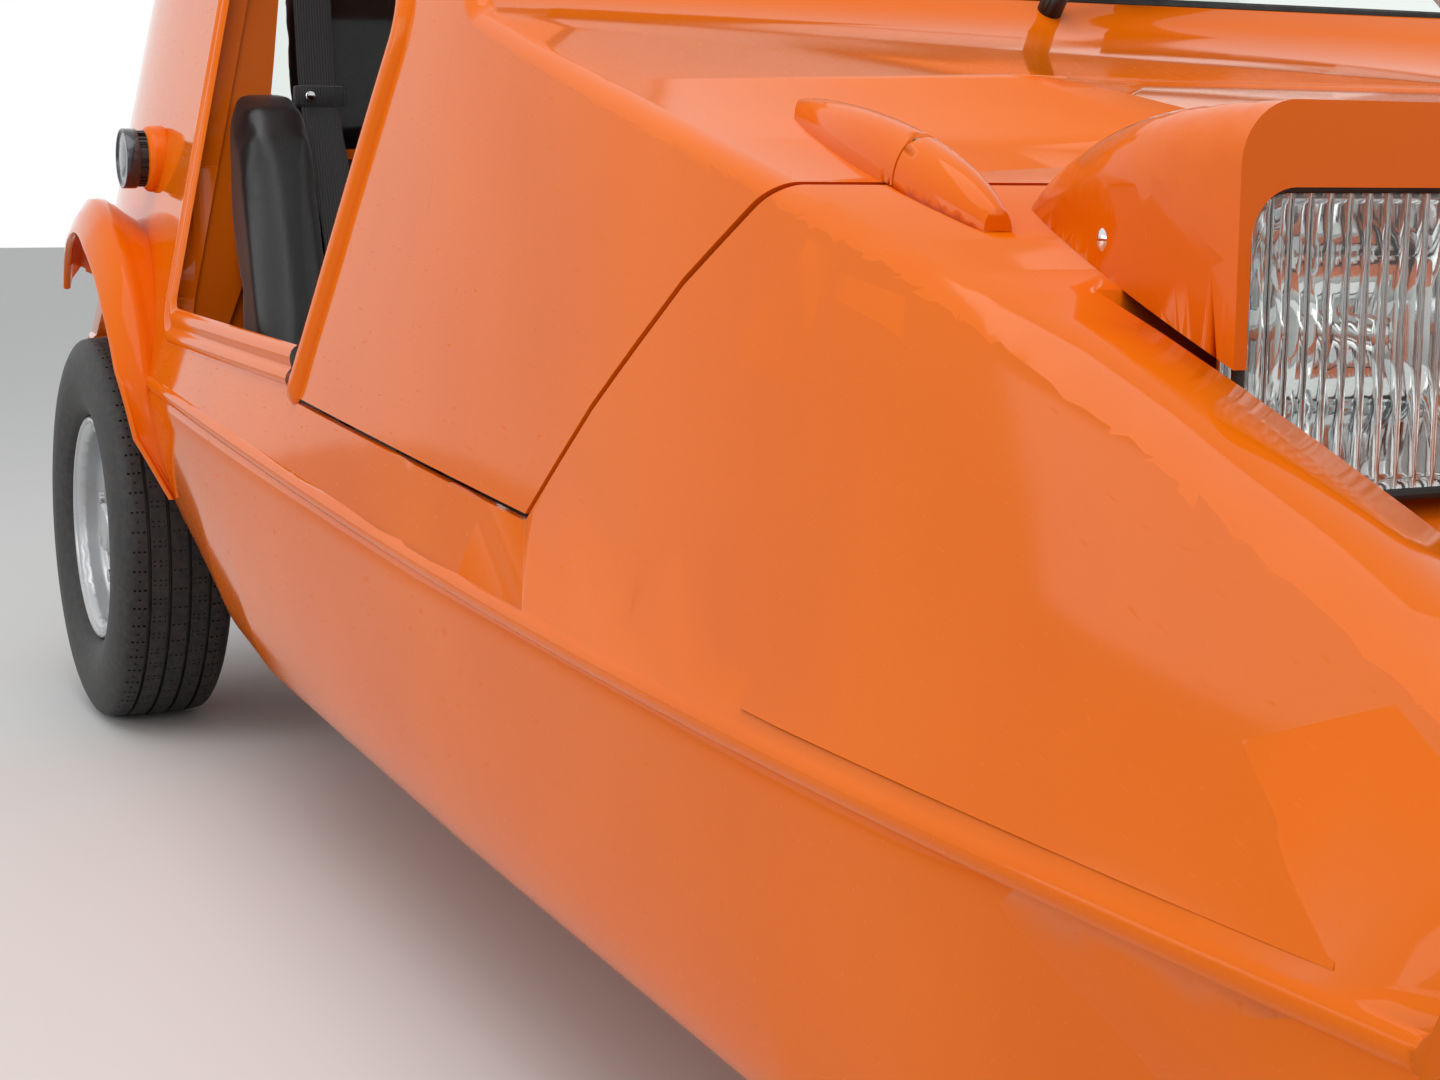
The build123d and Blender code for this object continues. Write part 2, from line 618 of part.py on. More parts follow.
# Seats
SEAT_Y = 330
SEAT_W = 436
SEAT_BASE_Z = 264
BOLSTER_W = 74
BOLSTER_BASE_Z = 292
SEAT_PAD_HALF = 150


def seat_side(points, y_low, y_high, radius):
    """Seat pad from its side outline."""
    return side_prism(points, (radius,) * len(points), y_low, y_high)


def seat(side):
    """Bucket seat: cushion, back, raised outer bolsters and headrest."""
    half = SEAT_W / 2
    base = SEAT_BASE_Z
    middle = ((-150, base), (-150, 330), (-230, 345), (-560, 318), (-685, 705), (-765, 720), (-650, base))
    edge = ((-190, BOLSTER_BASE_Z), (-170, 352), (-420, 385), (-530, 430), (-634, 745), (-700, 792), (-800, 765),
            (-688, 560), (-655, BOLSTER_BASE_Z))
    seat_solid = seat_side(middle, -SEAT_PAD_HALF, SEAT_PAD_HALF, 24)
    for bolster in (-1, 1):
        low = -half if bolster < 0 else half - BOLSTER_W
        seat_solid += seat_side(edge, low, low + BOLSTER_W, 26)
    headrest = ((-720, 712), (-745, 900), (-790, 918), (-820, 905), (-775, 712))
    seat_solid += seat_side(headrest, -130, 130, 20)
    return Pos(0, side * SEAT_Y, 0) * seat_solid


def seat_belt(side, inner):
    """Webbing from the hoop down the front of the seat back to the floor."""
    path = ((-724, 1000), (-698, 800), (-668, 705), (-570, 405), (-542, 347), (-460, 343))
    back = tuple((x - 3, z - 2) for x, z in reversed(path))
    y = side * (SEAT_Y + SEAT_W / 2 - BOLSTER_W - 25)
    top_x, top_z = path[0]
    guide = rod((top_x, y, top_z), (top_x, side * 600, top_z), 6) & inner
    return side_prism(path + back, None, y - 22, y + 22) + guide


def seat_frames(inner):
    """Plinths that stand on the floor under the seats."""
    return [Pos(0, side * SEAT_Y, 0) * box(-600, -200, -150, 150, UNDER_FLOOR_Z, SEAT_BASE_Z) & inner
            for side in (-1, 1)]


def dashboard():
    top = COVER[3]
    outline = ((215, top), (215, 690), (250, 752), (330, 752), (380, 720), (380, top))
    column = rod(COLUMN_LOW, COLUMN_HIGH, COLUMN_R)
    return side_prism(outline, (10, 25, 25, 20, 20, 10), -530, 530) - column


COLUMN_LOW = (560, -SEAT_Y, 430)
COLUMN_HIGH = (60, -SEAT_Y, 690)
WHEEL_RING_R = 175
COLUMN_R = 20
SHAFT_THIN_R = 9


def column_axis():
    return (Vector(*COLUMN_HIGH) - Vector(*COLUMN_LOW)).normalized()


def steering_wheel():
    axis = column_axis()
    hub = Vector(*COLUMN_HIGH) + axis * 30
    plane = Plane(origin=hub, x_dir=(0, 1, 0), z_dir=axis)
    wheel = plane * (Pos(0, 0, 12) * Torus(WHEEL_RING_R, 11) + Cylinder(30, 24))
    for angle in (90, 210, 330):
        spoke = Rot(0, 0, angle) * Pos(WHEEL_RING_R / 2, 0, 4) * Box(WHEEL_RING_R - 6, 24, 5)
        wheel += plane * spoke
    shaft = rod(tuple(Vector(*COLUMN_HIGH) - axis * 200), tuple(hub), SHAFT_THIN_R)
    return wheel + shaft


def steering_column(inner):
    axis = column_axis()
    tube = rod(COLUMN_LOW, COLUMN_HIGH, COLUMN_R)
    bore_end = tuple(Vector(*COLUMN_HIGH) - axis * (200 + SEAT_GAP))
    tube -= rod(bore_end, tuple(Vector(*COLUMN_HIGH) + axis * 5), SHAFT_THIN_R + RUN_FIT)
    foot = box(540, 580, -SEAT_Y - 20, -SEAT_Y + 20, UNDER_FLOOR_Z, 436)
    return (tube + foot) & inner


def pedals():
    rack = box(600, 616, -430, -200, 395, 411)
    for y in (-400, -320, -240):
        rack += box(604, 612, y - 5, y + 5, 250, 395) + box(592, 606, y - 25, y + 25, 228, 280)
    return rack + box(600, 616, -205, -COVER[2], 395, 411)


def levers():
    """Gear lever with its knob and handbrake, on the tunnel."""
    top = TUNNEL[3]
    gear = rod((120, 0, top + 4), (70, 0, top + 190), 6) + Pos(68, 0, top + 198) * Sphere(21)
    gear += Pos(120, 0, top + 4) * Cylinder(38, 8)
    brake = box(-330, -250, -14, 14, top, top + 36)
    brake += rod((-300, 0, top + 26), (-120, 0, top + 92), 9) + rod((-190, 0, top + 66), (-80, 0, top + 107), 14)
    return [gear, brake]


FILLER_X = -890
FILLER_Z = 708
FILLER_Y = 612


def filler(outer):
    """Filler cap on its boss, on the right rear quarter."""
    x, z, y = FILLER_X, FILLER_Z, -FILLER_Y
    boss = rod((x, -520, z), (x, y, z), 40) - outer
    neck = rod((x, y, z), (x, y - 7, z), 33)
    cap = rod((x, y - 7, z), (x, y - 26, z), 36)
    return boss, neck + fillet(cap.edges().filter_by(GeomType.CIRCLE).sort_by(Axis.Y)[:1], 5)


def windscreen():
    plane, length = screen_plane()
    return extrude(screen_face(-SEAT_GAP), -GLASS)


def wiper():
    plane, length = screen_plane()
    base = -length / 2 + SCREEN_MARGIN - 22
    spindle = plane * (Pos(-60, base, 12) * Cylinder(11, 24))
    arm = plane * (Pos(60, base + 30, 20) * Rot(0, 0, 14) * Box(260, 10, 6))
    blade = plane * (Pos(185, base + 62, 14) * Rot(0, 0, 14) * Box(330, 6, 12))
    return spindle + arm + blade


def canopy_latches(inner):
    """Grab handles at the foot of each canopy side, against the inside of the skin."""
    return [rod((-20, side * 622, 560), (60, side * 618, 640), 11) & inner for side in (-1, 1)]


PLATE_HOLE_R = 3
PLATE_HOLE_Y = 140


def strip(x_low, x_high, half, z_low, z_high, radius):
    bar = box(x_low, x_high, -half, half, z_low, z_high)
    return fillet(bar.edges().filter_by(Axis.Y), radius)


def hinge_rods(y, half, radius):
    """Rods on the hinge axis, one on each side of the car."""
    return [rod((HINGE_X, middle - half, HINGE_Z), (HINGE_X, middle + half, HINGE_Z), radius) for middle in (-y, y)]


def main():
    outer, inner = build_shells()
    fairings = [piece - outer for piece in both_sides(fairing())]
    notch = side_prism(((HINGE_X - 1, HINGE_Z), (HINGE_X + 1, HINGE_Z), (HINGE_X + 8, HINGE_Z + 12),
                        (HINGE_X - 8, HINGE_Z + 12)), None, -WIDTH, WIDTH)
    front_cut = x_slab(HINGE_X + 1, 2000) - notch
    heel = x_slab(HINGE_X - 12, 2000) - hinge_rods(0, WIDTH, HINGE_HEEL_R)[0]
    rear_cut = x_slab(-2000, HINGE_X - 1) - notch - heel
    pins = hinge_rods(HINGE_Y, HINGE_PIN_HALF, HINGE_PIN_R)
    bores = hinge_rods(HINGE_Y, HINGE_PIN_HALF + SEAT_GAP, HINGE_PIN_R + RUN_FIT)
    parts["fairing_fronts"] = [(piece & front_cut) - pins for piece in fairings]
    parts["fairing_rears"] = [(piece & rear_cut) - bores for piece in fairings]
    parts["hinge_pins"] = pins
    parts["headlamp_cowls"] = both_sides(cowl(outer))
    parts["headlamp_bowls"] = both_sides(lamp_bowl())
    parts["headlamp_lenses"] = both_sides(lamp_lens())
    guard = mudguard(outer)
    parts["mudguard_right"] = guard
    parts["mudguard_left"] = mirror(guard, about=Plane.XZ)
    half, low, high = TAIL_PANEL
    margin = SEAT_GAP
    parts["tail_lamp_panel"] = box(TAIL_X + 8, TAIL_X + 14, margin - half, half - margin, low + margin, high - margin)
    parts["rear_lamps"] = [rod((TAIL_X + 8, y, 560), (TAIL_X - 22, y, 560), 42)
                           for y in (-380, -280, 280, 380)]
    bumper = strip(-LENGTH / 2, TAIL_X, 560, 365, 425, 12)
    parts["rear_bumper"] = bumper - [rod((-LENGTH / 2 - 1, y, 395), (TAIL_X - 5, y, 395), PLATE_HOLE_R)
                                     for y in (-PLATE_HOLE_Y, PLATE_HOLE_Y)]
    parts["nose_strip"] = strip(NOSE_X - 30, LENGTH / 2, 500, 392, 448, 10) - outer
    parts["front_indicators"] = [rod((1300, y, 330), (NOSE_X + 6, y, 330), 30) - outer for y in (-450, 450)]
    parts["rear_window"] = extrude(rear_glass_face(-SEAT_GAP), -GLASS)
    parts["filler_boss"], parts["filler_cap"] = filler(outer)
    rail = chassis_rail()
    parts["chassis_rail_right"] = rail
    parts["chassis_rail_left"] = mirror(rail, about=Plane.XZ)
    parts["cross_members"] = cross_members()
    parts["steering_tower"] = steering_tower()
    parts["engine_block"] = block(ENGINE, inner)
    parts["engine_cover"] = hollow_cover(COVER, inner, COVER_WALL)
    parts["tunnel_cover"] = hollow_cover(TUNNEL, inner, -5)
    parts["gearbox"] = block(GEARBOX, inner)
    parts["rear_axle"] = rear_axle()
    shaft = rod((GEARBOX[0] + 10, 0, 300), (REAR_AXLE_X + 120, 0, DIFF_Z), SHAFT_R)
    parts["propeller_shaft"] = shaft - parts["gearbox"] - parts["rear_axle"]
    parts["trailing_arms"] = trailing_arms()
    parts["rear_springs"] = rear_springs()
    parts["exhaust"] = exhaust()
    parts["dashboard"] = dashboard()
    parts["steering_column"] = steering_column(inner)
    parts["steering_wheel"] = steering_wheel()
    parts["pedals"] = pedals()
    parts["levers"] = levers()
    parts["seat_left"] = seat(1)
    parts["seat_right"] = seat(-1)
    parts["seat_frames"] = seat_frames(inner)
    parts["seat_belts"] = [seat_belt(1, inner), seat_belt(-1, inner)]
    parts["windscreen"] = windscreen()
    parts["wiper"] = wiper()
    parts["canopy_latches"] = canopy_latches(inner)
    parts["swivel_leg"] = swivel_leg()
    parts["front_tyre"] = Pos(FRONT_AXLE_X, 0, WHEEL_Z) * tyre()
    parts["front_rim"] = Pos(FRONT_AXLE_X, 0, WHEEL_Z) * rim(-1)
    for name, side in (("left", 1), ("right", -1)):
        parts["rear_tyre_" + name] = Pos(REAR_AXLE_X, side * REAR_WHEEL_Y, WHEEL_Z) * tyre()
        parts["rear_rim_" + name] = Pos(REAR_AXLE_X, side * REAR_WHEEL_Y, WHEEL_Z) * rim(side)

    os.makedirs("parts", exist_ok=True)
    for name, shape in parts.items():
        solids = shape if isinstance(shape, list) else [shape]
        solids = [solid for item in solids for solid in item.solids()]
        export_step(solids[0] if len(solids) == 1 else Compound(solids), "parts/" + name + ".step")


if __name__ == "__main__":
    main()
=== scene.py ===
"""Three-wheeled microcar: paint, trim, seats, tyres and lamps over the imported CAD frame."""
import json
import math

import bmesh
import bpy
import numpy as np
from mathutils import Matrix, Vector


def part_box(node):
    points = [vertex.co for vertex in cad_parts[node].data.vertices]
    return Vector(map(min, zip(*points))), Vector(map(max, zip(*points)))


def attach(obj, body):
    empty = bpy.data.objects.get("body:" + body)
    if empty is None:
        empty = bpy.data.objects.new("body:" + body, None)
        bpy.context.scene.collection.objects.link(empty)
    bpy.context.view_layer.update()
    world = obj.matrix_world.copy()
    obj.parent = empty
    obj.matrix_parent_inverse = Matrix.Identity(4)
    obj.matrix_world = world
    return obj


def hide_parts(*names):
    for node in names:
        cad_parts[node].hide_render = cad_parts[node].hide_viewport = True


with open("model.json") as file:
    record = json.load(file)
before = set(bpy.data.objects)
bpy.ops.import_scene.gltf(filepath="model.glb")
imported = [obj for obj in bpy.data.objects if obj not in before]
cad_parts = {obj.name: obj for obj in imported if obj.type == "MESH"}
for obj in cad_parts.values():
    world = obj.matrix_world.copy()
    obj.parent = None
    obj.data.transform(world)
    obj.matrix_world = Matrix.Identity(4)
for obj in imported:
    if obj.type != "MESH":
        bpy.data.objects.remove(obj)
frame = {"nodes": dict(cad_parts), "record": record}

bl_info = {
    "name": "Three-wheeled Microcar",
    "version": (1, 0, 0),
    "blender": (4, 5, 0),
    "location": "View3D > Sidebar > Microcar",
    "description": "Dresses the packed microcar with paint, trim, soft seats, tyres and lamps",
    "category": "Object",
}

MM = 0.001
# Scale of a wave texture whose bands repeat once a metre
WAVE = 0.314
# The sign of y on each side
SIDES = ((1, "left"), (-1, "right"))
BODY_OF = {node: body for body, nodes in frame["record"]["behaviour"]["bodies"].items() for node in nodes}
PAINTED = ("nose_moulding", "rear_moulding", "sill_left", "sill_right", "floor_tub", "canopy_front_shell",
           "canopy_roof_shell", "fairing_fronts", "fairing_rears", "headlamp_cowls", "canopy_latches")


# Helpers

def linear(hex_colour):
    """An sRGB hex value as linear RGBA."""
    out = []
    for start in (0, 2, 4):
        value = int(hex_colour[start:start + 2], 16) / 255
        out.append(value / 12.92 if value <= 0.04045 else ((value + 0.055) / 1.055) ** 2.4)
    return (*out, 1.0)


def colour(rgb):
    """A colour property, which Blender keeps in linear light, as RGBA."""
    return (*rgb, 1.0)


def settings():
    return bpy.context.scene.microcar


def deselect():
    bpy.ops.object.select_all(action="DESELECT")


def activate(obj):
    deselect()
    obj.select_set(True)
    bpy.context.view_layer.objects.active = obj


def start_edit(obj, mode="VERT"):
    activate(obj)
    bpy.ops.object.mode_set(mode="EDIT")
    bpy.ops.mesh.select_mode(type=mode)
    bpy.ops.mesh.select_all(action="SELECT")


def end_edit():
    bpy.ops.object.mode_set(mode="OBJECT")


def apply_place(obj):
    activate(obj)
    bpy.ops.object.transform_apply(location=True, rotation=True, scale=True)


def finish_mesh(obj, name, material, body, angle=35):
    """Names, shades and hands a finished mesh to its body."""
    obj.name = name
    obj.data.name = name
    apply_place(obj)
    obj.data.materials.clear()
    obj.data.materials.append(material)
    bpy.ops.object.shade_smooth_by_angle(angle=math.radians(angle))
    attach(obj, body)
    return obj


def add_modifier(obj, kind, **values):
    modifier = obj.modifiers.new(kind.title(), kind)
    for key, value in values.items():
        setattr(modifier, key, value)
    return modifier


def use_modifier(obj, kind, **values):
    """Adds a modifier and applies it at once."""
    modifier = add_modifier(obj, kind, **values)
    activate(obj)
    bpy.ops.object.modifier_apply(modifier=modifier.name)


def copy_mesh(obj, name):
    """A second object with its own copy of the mesh."""
    activate(obj)
    bpy.ops.object.duplicate(linked=False)
    copy = bpy.context.object
    copy.name = name
    copy.data.name = name
    return copy


def node_copy(node, name):
    """A merged copy of a CAD node, ready to be shaped further."""
    copy = copy_mesh(frame["nodes"][node], name)
    copy.parent = None
    copy.matrix_world = Matrix.Identity(4)
    copy.hide_render = False
    start_edit(copy)
    bpy.ops.mesh.remove_doubles(threshold=0.00002)
    bpy.ops.mesh.dissolve_degenerate(threshold=0.00001)
    bpy.ops.mesh.normals_make_consistent(inside=False)
    end_edit()
    return copy


def placed(name):
    """Names the object that was just added, and applies its place and size."""
    obj = bpy.context.object
    obj.name = name
    apply_place(obj)
    return obj


def draw_line(name, points):
    """A chain of edges through the points, left in edit mode and wholly selected."""
    deselect()
    bpy.ops.mesh.primitive_plane_add(size=0.01, location=points[0])
    obj = placed(name)
    start_edit(obj)
    bpy.ops.mesh.merge(type="CENTER")
    bpy.ops.mesh.select_all(action="SELECT")
    for start, end in zip(points, points[1:]):
        step = tuple(b - a for a, b in zip(start, end))
        bpy.ops.mesh.extrude_region_move(TRANSFORM_OT_translate={"value": step})
    bpy.ops.mesh.select_all(action="SELECT")
    return obj


def swept_tube(name, points, radius, segments=12):
    """A round bar, hose or bead along the points."""
    obj = draw_line(name, points)
    end_edit()
    activate(obj)
    bpy.ops.object.convert(target="CURVE")
    obj.data.bevel_depth = radius
    obj.data.bevel_resolution = max(1, segments // 4)
    obj.data.use_fill_caps = True
    bpy.ops.object.convert(target="MESH")
    return bpy.context.object


def shaped_grid(name, rows):
    """A sheet through rows of points: a grid whose vertices are moved to them."""
    deselect()
    across, along = len(rows[0]) - 1, len(rows) - 1
    bpy.ops.mesh.primitive_grid_add(x_subdivisions=across, y_subdivisions=along, size=1, location=(0, 0, 0))
    sheet = bpy.context.object
    sheet.name = name
    for vertex in sheet.data.vertices:
        column, row = round((vertex.co.x + 0.5) * across), round((vertex.co.y + 0.5) * along)
        vertex.co = rows[row][column]
    return sheet


def face_outwards(obj, outside):
    """Turns the sheet over where most of it faces away from the side that outside points to."""
    start_edit(obj, "FACE")
    bpy.ops.mesh.normals_make_consistent(inside=False)
    end_edit()
    total = sum((face.normal * face.area for face in obj.data.polygons), Vector())
    if total.dot(Vector(outside)) < 0:
        start_edit(obj, "FACE")
        bpy.ops.mesh.flip_normals()
        end_edit()


def painted_sheet(name, rows, outside, body="body", angle=60, thick=0):
    """A painted sheet, or a panel where thick is given, through rows of points; outside is where it faces."""
    sheet = shaped_grid(name, rows)
    face_outwards(sheet, outside)
    if thick:
        use_modifier(sheet, "SOLIDIFY", thickness=thick, offset=-1)
    return finish_mesh(sheet, name, gelcoat(), body, angle=angle)


def rounded_path(corners, radii, step=0.008):
    """Points and left-hand normals along a path in the x-z plane, rounded at its inner corners."""
    spots = [np.array(corner, float) for corner in corners]
    out = []
    last = spots[0]
    for before, here, after, radius in zip(spots, spots[1:], spots[2:], radii):
        go, leave = (here - before) / np.linalg.norm(here - before), (after - here) / np.linalg.norm(after - here)
        turn = math.atan2(go[0] * leave[1] - go[1] * leave[0], float(go @ leave))
        reach = radius * math.tan(abs(turn) / 2)
        out += straight(last, here - go * reach, step)
        centre = here - go * reach + radius * math.copysign(1, turn) * np.array((-go[1], go[0]))
        arm = here - go * reach - centre
        count = max(4, int(abs(turn) * radius / step * 2))
        for number in range(1, count):
            angle = turn * number / count
            swung = np.array((arm[0] * math.cos(angle) - arm[1] * math.sin(angle),
                              arm[0] * math.sin(angle) + arm[1] * math.cos(angle)))
            out.append((centre + swung, -swung / radius * math.copysign(1, turn)))
        last = here + leave * reach
    return out + straight(last, spots[-1], step) + [(spots[-1], left_of(last, spots[-1]))]


def left_of(start, end):
    run = (end - start) / np.linalg.norm(end - start)
    return np.array((-run[1], run[0]))


def straight(start, end, step):
    count = max(1, int(np.linalg.norm(end - start) / step))
    return [(start + (end - start) * number / count, left_of(start, end)) for number in range(count)]


def bezier(corners, t):
    """Point at t, from 0 to 1, of the curve with these control points."""
    while len(corners) > 1:
        corners = [tuple(a + (b - a) * t for a, b in zip(*pair)) for pair in zip(corners, corners[1:])]
    return corners[0]


def join(objects):
    activate(objects[0])
    for obj in objects:
        obj.select_set(True)
    bpy.ops.object.join()
    return bpy.context.object


def middle(node):
    """Centre of a CAD node's box."""
    low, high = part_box(node)
    return (Vector(low) + Vector(high)) / 2


# Material helpers

def new_material(name):
    material = bpy.data.materials.new(name)
    material.use_nodes = True
    return material, material.node_tree, material.node_tree.nodes["Principled BSDF"]


def fill(tree, node, inputs):
    """Sets or links a node's inputs, given by name or number."""
    for key, value in inputs.items():
        if isinstance(value, bpy.types.NodeSocket):
            tree.links.new(value, node.inputs[key])
        else:
            node.inputs[key].default_value = value


def add_node(tree, kind, inputs, out=0, **properties):
    """Adds a node, sets its properties and inputs, and gives back one of its outputs."""
    node = tree.nodes.new(kind)
    for key, value in properties.items():
        setattr(node, key, value)
    fill(tree, node, inputs)
    return node.outputs[out]


# Settings

class PaintSettings(bpy.types.PropertyGroup):
    body: bpy.props.FloatVectorProperty(
        name="Body colour", description="Colour of the gelcoat and paint on the shell", subtype="COLOR",
        size=3, min=0, max=1, default=linear("EE7006")[:3])
    haze: bpy.props.FloatProperty(
        name="Fine scratches", description="Strength of the polishing marks in the paint",
        subtype="FACTOR", min=0, max=1, default=0.35)


class TyreSettings(bpy.types.PropertyGroup):
    pitches: bpy.props.IntProperty(
        name="Tread pitches", description="Number of repeats of the tread pattern round a tyre",
        min=36, max=96, default=64)
    sipe_depth: bpy.props.FloatProperty(
        name="Sipe depth", description="Depth of the cuts in the tread shoulders", subtype="DISTANCE",
        unit="LENGTH", min=0.001, max=0.008, default=0.004)
    rubber: bpy.props.FloatVectorProperty(
        name="Rubber colour", description="Colour of the tyre rubber", subtype="COLOR", size=3, min=0, max=1,
        default=linear("1C1C1E")[:3])


class SeatSettings(bpy.types.PropertyGroup):
    vinyl: bpy.props.FloatVectorProperty(
        name="Vinyl colour", description="Colour of the seats' vinyl", subtype="COLOR", size=3, min=0, max=1,
        default=linear("161618")[:3])
    crown: bpy.props.FloatProperty(
        name="Cushion pressure", description="How hard the cushions are stuffed before they settle",
        min=0, max=12, default=3.0)
    belt_width: bpy.props.FloatProperty(
        name="Belt width", description="Width of the belt webbing", subtype="DISTANCE", unit="LENGTH",
        min=0.03, max=0.06, default=0.046)


class LampSettings(bpy.types.PropertyGroup):
    flutes: bpy.props.IntProperty(
        name="Flutes", description="Number of upright flutes across a headlamp glass", min=8, max=40, default=19)
    flute_depth: bpy.props.FloatProperty(
        name="Flute depth", description="Depth of the flutes in the headlamp glass", subtype="DISTANCE",
        unit="LENGTH", min=0.0005, max=0.004, default=0.0022)


class StageSettings(bpy.types.PropertyGroup):
    floor: bpy.props.FloatVectorProperty(
        name="Floor colour", description="Colour of the studio floor", subtype="COLOR", size=3, min=0, max=1,
        default=linear("E4E4E2")[:3])
    key: bpy.props.FloatProperty(
        name="Key light", description="Power of the large overhead light in watts", min=0, max=2000, default=60)


class MicrocarSettings(bpy.types.PropertyGroup):
    paint: bpy.props.PointerProperty(type=PaintSettings)
    tyre: bpy.props.PointerProperty(type=TyreSettings)
    seat: bpy.props.PointerProperty(type=SeatSettings)
    lamp: bpy.props.PointerProperty(type=LampSettings)
    stage: bpy.props.PointerProperty(type=StageSettings)


# Materials

def gelcoat():
    # Polished tangerine gelcoat on glass fibre: deep gloss, a slight ripple from the mould, fine polishing
    # marks and a little road dust in patches.
    name = "Polished gelcoat"
    if name in bpy.data.materials:
        return bpy.data.materials[name]
    material, tree, shader = new_material(name)
    place = add_node(tree, "ShaderNodeTexCoord", {}, out="Object")
    base = colour(settings().paint.body)
    deeper = (base[0] * 0.93, base[1] * 0.86, base[2] * 0.8, 1.0)
    gloss = 0.07
    tone = add_node(tree, "ShaderNodeTexNoise", {"Vector": place, "Scale": 1 / (300 * MM), "Detail": 2.0})
    tone = add_node(tree, "ShaderNodeMapRange", {"Value": tone, "From Min": 0.35, "From Max": 0.7})
    body = add_node(tree, "ShaderNodeMix", {0: tone, 6: base, 7: deeper}, out=2, data_type="RGBA")
    dust = add_node(tree, "ShaderNodeTexNoise", {"Vector": place, "Scale": 1 / (2.2 * MM), "Detail": 6.0,
                                                 "Roughness": 0.7})
    dust = add_node(tree, "ShaderNodeMapRange", {"Value": dust, "From Min": 0.70, "From Max": 0.80, "To Max": 0.3})
    patch = add_node(tree, "ShaderNodeTexNoise", {"Vector": place, "Scale": 1 / (140 * MM), "Detail": 3.0})
    patch = add_node(tree, "ShaderNodeMapRange", {"Value": patch, "From Min": 0.52, "From Max": 0.70})
    speck = add_node(tree, "ShaderNodeMath", {0: dust, 1: patch}, operation="MULTIPLY")
    body = add_node(tree, "ShaderNodeMix", {0: speck, 6: body, 7: linear("6A3A18")}, out=2, data_type="RGBA")
    along = add_node(tree, "ShaderNodeMapping", {"Vector": place, "Rotation": (0.4, 0.9, 0.2),
                                                 "Scale": (1, 30, 1)})
    marks = add_node(tree, "ShaderNodeTexNoise", {"Vector": along, "Scale": 1 / (12 * MM), "Roughness": 0.4})
    marks = add_node(tree, "ShaderNodeMapRange", {"Value": marks, "From Min": 0.68, "From Max": 0.74,
                                                  "To Min": gloss, "To Max": gloss + settings().paint.haze})
    ripple = add_node(tree, "ShaderNodeTexNoise", {"Vector": place, "Scale": 1 / (110 * MM), "Detail": 1.0})
    peel = add_node(tree, "ShaderNodeTexNoise", {"Vector": place, "Scale": 1 / (3.5 * MM), "Detail": 1.0})
    waves = add_node(tree, "ShaderNodeBump", {"Height": ripple, "Distance": 0.5 * MM, "Strength": 0.5})
    waves = add_node(tree, "ShaderNodeBump", {"Height": peel, "Distance": 0.03 * MM, "Strength": 0.35,
                                              "Normal": waves})
    fill(tree, shader, {"Base Color": body, "IOR": 1.25, "Roughness": marks, "Normal": waves})
    return material


def finish(name, hex_colour, rough, metal=0.0, grain=None, depth=0.0, coat=0.0):
    """A finish with slight blotches of tone, uneven gloss and a grain; grain and depth are in metres."""
    if name in bpy.data.materials:
        return bpy.data.materials[name]
    material, tree, shader = new_material(name)
    place = add_node(tree, "ShaderNodeTexCoord", {}, out="Object")
    base = linear(hex_colour)
    lighter = tuple(min(1.0, value * 1.25 + 0.01) for value in base[:3]) + (1.0,)
    tone = add_node(tree, "ShaderNodeTexNoise", {"Vector": place, "Scale": 1 / (60 * MM), "Detail": 4.0})
    tone = add_node(tree, "ShaderNodeMapRange", {"Value": tone, "From Min": 0.3, "From Max": 0.7, "To Max": 0.35})
    body = add_node(tree, "ShaderNodeMix", {0: tone, 6: base, 7: lighter}, out=2, data_type="RGBA")
    gloss = add_node(tree, "ShaderNodeTexNoise", {"Vector": place, "Scale": 1 / (18 * MM), "Detail": 4.0})
    gloss = add_node(tree, "ShaderNodeMapRange", {"Value": gloss, "From Min": 0.3, "From Max": 0.7,
                                                  "To Min": rough * 0.8, "To Max": min(1.0, rough * 1.2)})
    fill(tree, shader, {"Base Color": body, "Roughness": gloss, "Metallic": metal, "Coat Weight": coat})
    if grain:
        relief = add_node(tree, "ShaderNodeTexNoise", {"Vector": place, "Scale": 1 / grain})
        relief = add_node(tree, "ShaderNodeBump", {"Height": relief, "Distance": depth})
        fill(tree, shader, {"Normal": relief})
    return material


def moulded_black():
    # Moulded ABS with a fine leather grain: near-black with a soft sheen.
    return finish("Grained ABS", "141416", 0.45, grain=1.6 * MM, depth=0.12 * MM)


def stove_enamel():
    # Stove-enamelled steel: black, slightly orange-peeled, soft highlights.
    return finish("Stove-enamelled steel", "18191A", 0.38, grain=2 * MM, depth=0.05 * MM, coat=0.3)


def chrome():
    # Electroplated chrome on brass or steel: mirror-bright with a faint haze.
    return finish("Chrome plate", "D9DADB", 0.06, metal=1.0)


def zinc():
    # Zinc-plated fasteners: dull, slightly warm grey metal.
    return finish("Zinc plate", "A6A39B", 0.32, metal=1.0)


def cast_iron():
    # Sand-cast iron: dark and granular.
    return finish("Sand-cast iron", "3A3937", 0.7, metal=0.4, grain=1.4 * MM, depth=0.4 * MM)


def drawn_steel():
    # Bare drawn steel tube, lightly tarnished.
    return finish("Drawn steel", "8D8A84", 0.35, metal=1.0, grain=4 * MM, depth=0.05 * MM)


def seal_rubber():
    # Extruded EPDM seal: matt black with a dusty bloom.
    return finish("Extruded EPDM rubber", "121212", 0.62, grain=0.8 * MM, depth=0.04 * MM)


def wheel_enamel():
    # Silver stoving enamel on a pressed wheel: metallic grey with brake dust.
    return finish("Silver wheel enamel", "B4B6B8", 0.33, metal=0.6, coat=0.4)


